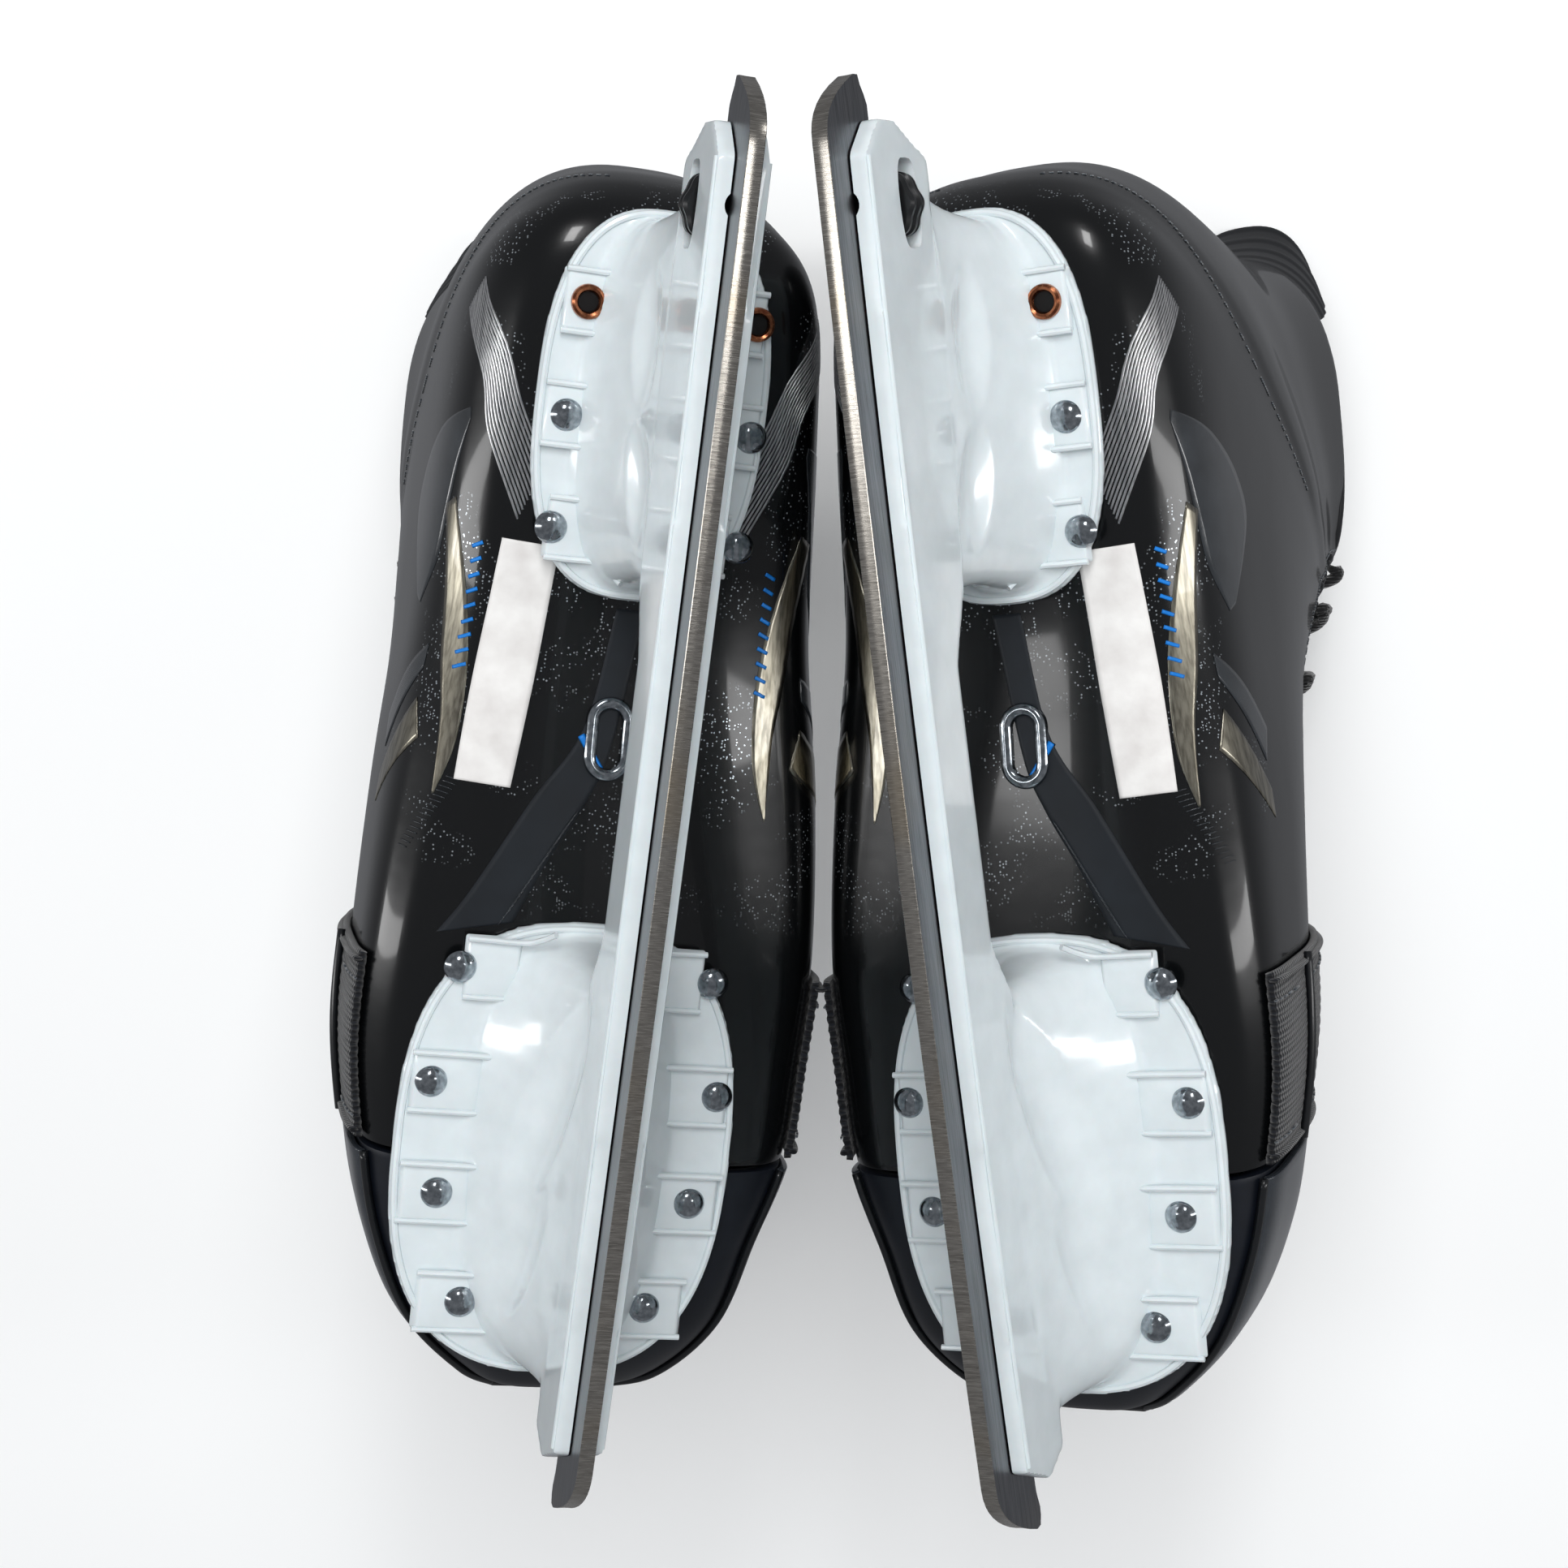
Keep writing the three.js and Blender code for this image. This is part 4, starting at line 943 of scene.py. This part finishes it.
body = shapedBy(body, [("BOOLEAN", {"operation": "DIFFERENCE", "object": cutter, "solver": "EXACT",
                                    "use_self": True})], "holderCut")
bpy.data.objects.remove(cutter)
print("holder cut", len(body.verts))

frontRivets = [(25.7, 38.3), (29.2, 61.6), (25.9, 84), (18.9, 106.1)]
rearRivets = [(18.6, -71.3), (19, -49.2)]
copperRivets = [(17, -93.4)]
rivets = [(x, y, 0.5, "front") for x, y in frontRivets] + [(x, y, -2.1, "rear") for x, y in rearRivets + copperRivets]
pad = {"long": 6.4, "rise": 1.25, "above": 1.2, "taper": 0.86}
for x, y, shift, key in rivets:
    for side in flanks.values():
        plate = plates[key]
        reach = plate["lateral"] if side > 0 else plate["medial"]
        centreY, halfY = (plate["heel"] + plate["toe"]) / 2, (plate["toe"] - plate["heel"]) / 2
        edgeAt = reach * max(0.05, 1 - abs((y - centreY) / halfY) ** 2.6) ** (1 / 2.6)
        inner, outer = shift + side * (x * 0.52), side * (edgeAt - 1.2)
        block = bmesh.new()
        bmesh.ops.create_cube(block, size=1)
        for vert in block.verts:
            upper = vert.co.z > 0
            wide = 1 if upper else pad["taper"]
            across, down = vert.co.x * abs(outer - inner) * wide, vert.co.y * pad["long"] * 2
            height = plateUnder(key, y) - plate["slope"] * down + (pad["above"] if upper else 0.1 - pad["rise"])
            vert.co = Vector(((inner + outer) / 2 + across, y + down * wide, height))
        bmesh.ops.bevel(block, geom=block.edges, offset=0.55, offset_type="OFFSET", segments=3, profile=0.5,
                        affect="EDGES", material=-1)
        bmesh.ops.recalc_face_normals(block, faces=block.faces)
        merged(body, block)
        for end in (-1, 1):
            # the ridge along each side of the pad runs up into the tower's flank
            low = plateUnder(key, y) - pad["rise"]
            away = y + end * pad["long"] * 0.93
            route = [(outer - side * 0.4, away, low + 0.1), (shift + side * x * 0.8, away, low - 0.15),
                     (inner, away, low - 0.5), (inner - side * 3, away + end * 1.4, low - 2.6),
                     (inner - side * 5, away + end * 3.2, low - 5)]
            merged(body, sweep(bmesh.new(), curveThrough(route, 20), circle(0.62, 8), up=Vector((0.02, 1, 0.02))))
# the thin rim bead round each plate
beadInset = 1.1
for key in ("front", "rear"):
    plate = plates[key]
    shape = {"heel": plate["heel"] + beadInset, "toe": plate["toe"] - beadInset,
             "lateral": plate["lateral"] - beadInset, "medial": plate["medial"] - beadInset}
    bead = ring(shape, lambda y: plateUnder(key, y) + 0.3, 2.6, 120)
    merged(body, sweep(bmesh.new(), bead, circle(0.75, 8), closed=True))
# the bead along the slot's mouth
for side in flanks.values():
    route = [-121 + i * 6 for i in range(41)]
    route = [Vector((side * (half - 0.15), y, runnerSize["shown"] + rocker(y) + 1.1)) for y in route]
    merged(body, sweep(bmesh.new(), route, circle(0.55, 8)))
putOn("blade_holder_moulding", body, "nylon", nodes=["blade_holder"], sharp=38)
print("holder done")

# --- runner, lock, rivets, grommet


def runnerEnds(t):
    # running edge and back edge heights along the blade, with the rounded nose and heel
    heelBend, toeBend = -123.5, 119.5
    y = runnerSize["length"] * (t - 0.5)
    edge = rocker(y)
    if y < heelBend:
        edge = rocker(heelBend) + runnerSize["heelRise"] * ((heelBend - y) / 12) ** 2.4
    if y > toeBend:
        edge = rocker(toeBend) + 17.6 * ((y - toeBend) / 16) ** 2.0
    top = runnerSize["shown"] + runnerSize["inSlot"] + rocker(y)
    if y > 128:
        top += 1.0 * smoothStep(y, 128, 133) - 1.0 * smoothStep(y, 133, 135.5)
    if y < -130:
        top -= 3.0 * smoothStep(-y, 130, 135.5)
    return y, edge, max(top, edge + 0.6)


blade = []
flat = runnerSize["thickness"] / 2
grind = [(-flat, 0.12), (-flat + 0.12, 0), (-0.7, 0.14), (0, 0.19), (0.7, 0.14), (flat - 0.12, 0), (flat, 0.12)]
for i in range(161):
    y, edge, top = runnerEnds(i / 160)
    shoulder = max(top - 0.15, edge + 0.3)
    back = [(flat, shoulder), (flat - 0.15, top), (-flat + 0.15, top), (-flat, shoulder)]
    blade.append([Vector((x, y, edge + z)) for x, z in grind] + [Vector((x, y, z)) for x, z in back])
steel = stack(bmesh.new(), blade)
bmesh.ops.recalc_face_normals(steel, faces=steel.faces)
for polygon in steel.faces:
    polygon.material_index = 1 if polygon.normal.z < -0.25 or abs(polygon.normal.y) > 0.6 else 0
putOn("runner_steel", steel, ["steel", "edge"], body="runner", nodes=["runner"], sharp=30)

wheelProfile = [(2.6, -3), (6.2, -3), (6.9, -2.4), (6.9, -1.6), (6.2, -1.1), (6.2, -0.5), (7, 0), (7, 0.9), (6.3, 1.4),
                (6.3, 1.9), (6.8, 2.3), (6.6, 3), (2.6, 3), (2.6, -3)]
wheel = lathe(wheelProfile, 96, (0, lock["y"], lock["z"]))
for vert in wheel.verts:
    dx, dy = vert.co.x, vert.co.y - lock["y"]
    if math.hypot(dx, dy) > 4:
        k = 1 - 0.035 * (1 - math.cos(math.atan2(dy, dx) * lock["scallops"]))
        vert.co.x, vert.co.y = dx * k, lock["y"] + dy * k
putOn("lock_wheel_moulding", wheel, "wheel", body="lock_wheel", nodes=["lock_wheel"], sharp=35)
studLow, studHigh = 19 + rocker(lock["y"]) + 0.3, holder["windowTop"] + 3
threads = [(0, studLow)]
height = studLow
pitch = 0.5
while height < studHigh - 0.6:
    threads += [(1.75, height), (2.2, height + pitch / 2), (1.75, height + pitch)]
    height += pitch
threads += [(1.5, studHigh), (0, studHigh)]
putOn("lock_stud_thread", lathe(threads, 32, (0, lock["y"], 0)), "stud", body="runner", nodes=["lock_stud"],
      sharp=30)

for x, y, shift, key in rivets:
    copper = (x, y) in copperRivets
    kind = "copper" if copper else key
    number = 1 if copper else (frontRivets if key == "front" else rearRivets).index((x, y)) + 1
    head = plateUnder(key, y) - pad["rise"] + 0.15
    tube = [(0, -0.2), (1.9, -0.2), (2.0, -0.4), (2.3, -1.0), (2.8, -1.25), (3.3, -0.9), (3.45, -0.3), (3.4, 0.1),
            (1.6, 0.1), (1.6, 8), (0, 8)]
    dome = [(0, -1.62), (0.7, -1.6), (1.5, -1.42), (2.3, -1.0), (2.9, -0.5), (3.2, -0.05), (3.3, 0.15), (1.6, 0.2),
            (1.6, 8), (0, 8)]
    profile = [(radius, head + rise) for radius, rise in (tube if copper else dome)]
    for tag, side in flanks.items():
        piece = lathe(profile, 40, (shift + side * x, y, 0))
        if copper:
            # painted shade: the flat closed end inside the rolled lip takes the near-black finish, standing in for the
            # dark hole
            for face in piece.faces:
                centre = face.calc_center_median()
                if math.hypot(centre.x - shift - side * x, centre.y - y) < 1.97 and centre.z < head - 0.1:
                    face.material_index = 1
        putOn(f"{kind}_rivet_{tag}_{number}_cap", piece, ["copper", "hollow"] if copper else "nickel",
              nodes=[f"{kind}_rivet_{tag}_{number}"], sharp=30)

grommet = {"length": 17, "width": 10, "y": -8, "wire": 1.3}
straight = (grommet["length"] - grommet["width"]) / 2
radius = grommet["width"] / 2 - grommet["wire"]
ovalPath = []
for i in range(64):
    angle = i / 64 * math.tau
    y = grommet["y"] + math.sin(angle) * radius + math.copysign(straight, math.sin(angle))
    ovalPath.append(Vector((math.cos(angle) * radius, y, 0)))
for point in ovalPath:
    point.z = snapped((point.x, point.y, soleArch), 0).z - 0.35
putOn("vent_grommet_ring", sweep(bmesh.new(), ovalPath, circle(grommet["wire"], 12, 0.75), closed=True), "nickel",
      nodes=["vent_grommet"], sharp=None)
print("metal done")

# --- floor

floorData = bpy.data.meshes.new("floor")
floorBm = bmesh.new()
bmesh.ops.create_grid(floorBm, x_segments=2, y_segments=2, size=3)
floorBm.to_mesh(floorData)
floorBm.free()
floor = bpy.data.objects.new("floor", floorData)
bpy.context.scene.collection.objects.link(floor)
# matt painted board: an even, almost white ground
floorData.materials.append(newMaterial("pale_floor_painted", Roughness=0.9, IOR=1.4, Base_Color=linear("#fafbfb"))[0])
floor.visible_glossy = False  # its whiteness doesn't turn the black gloss grey
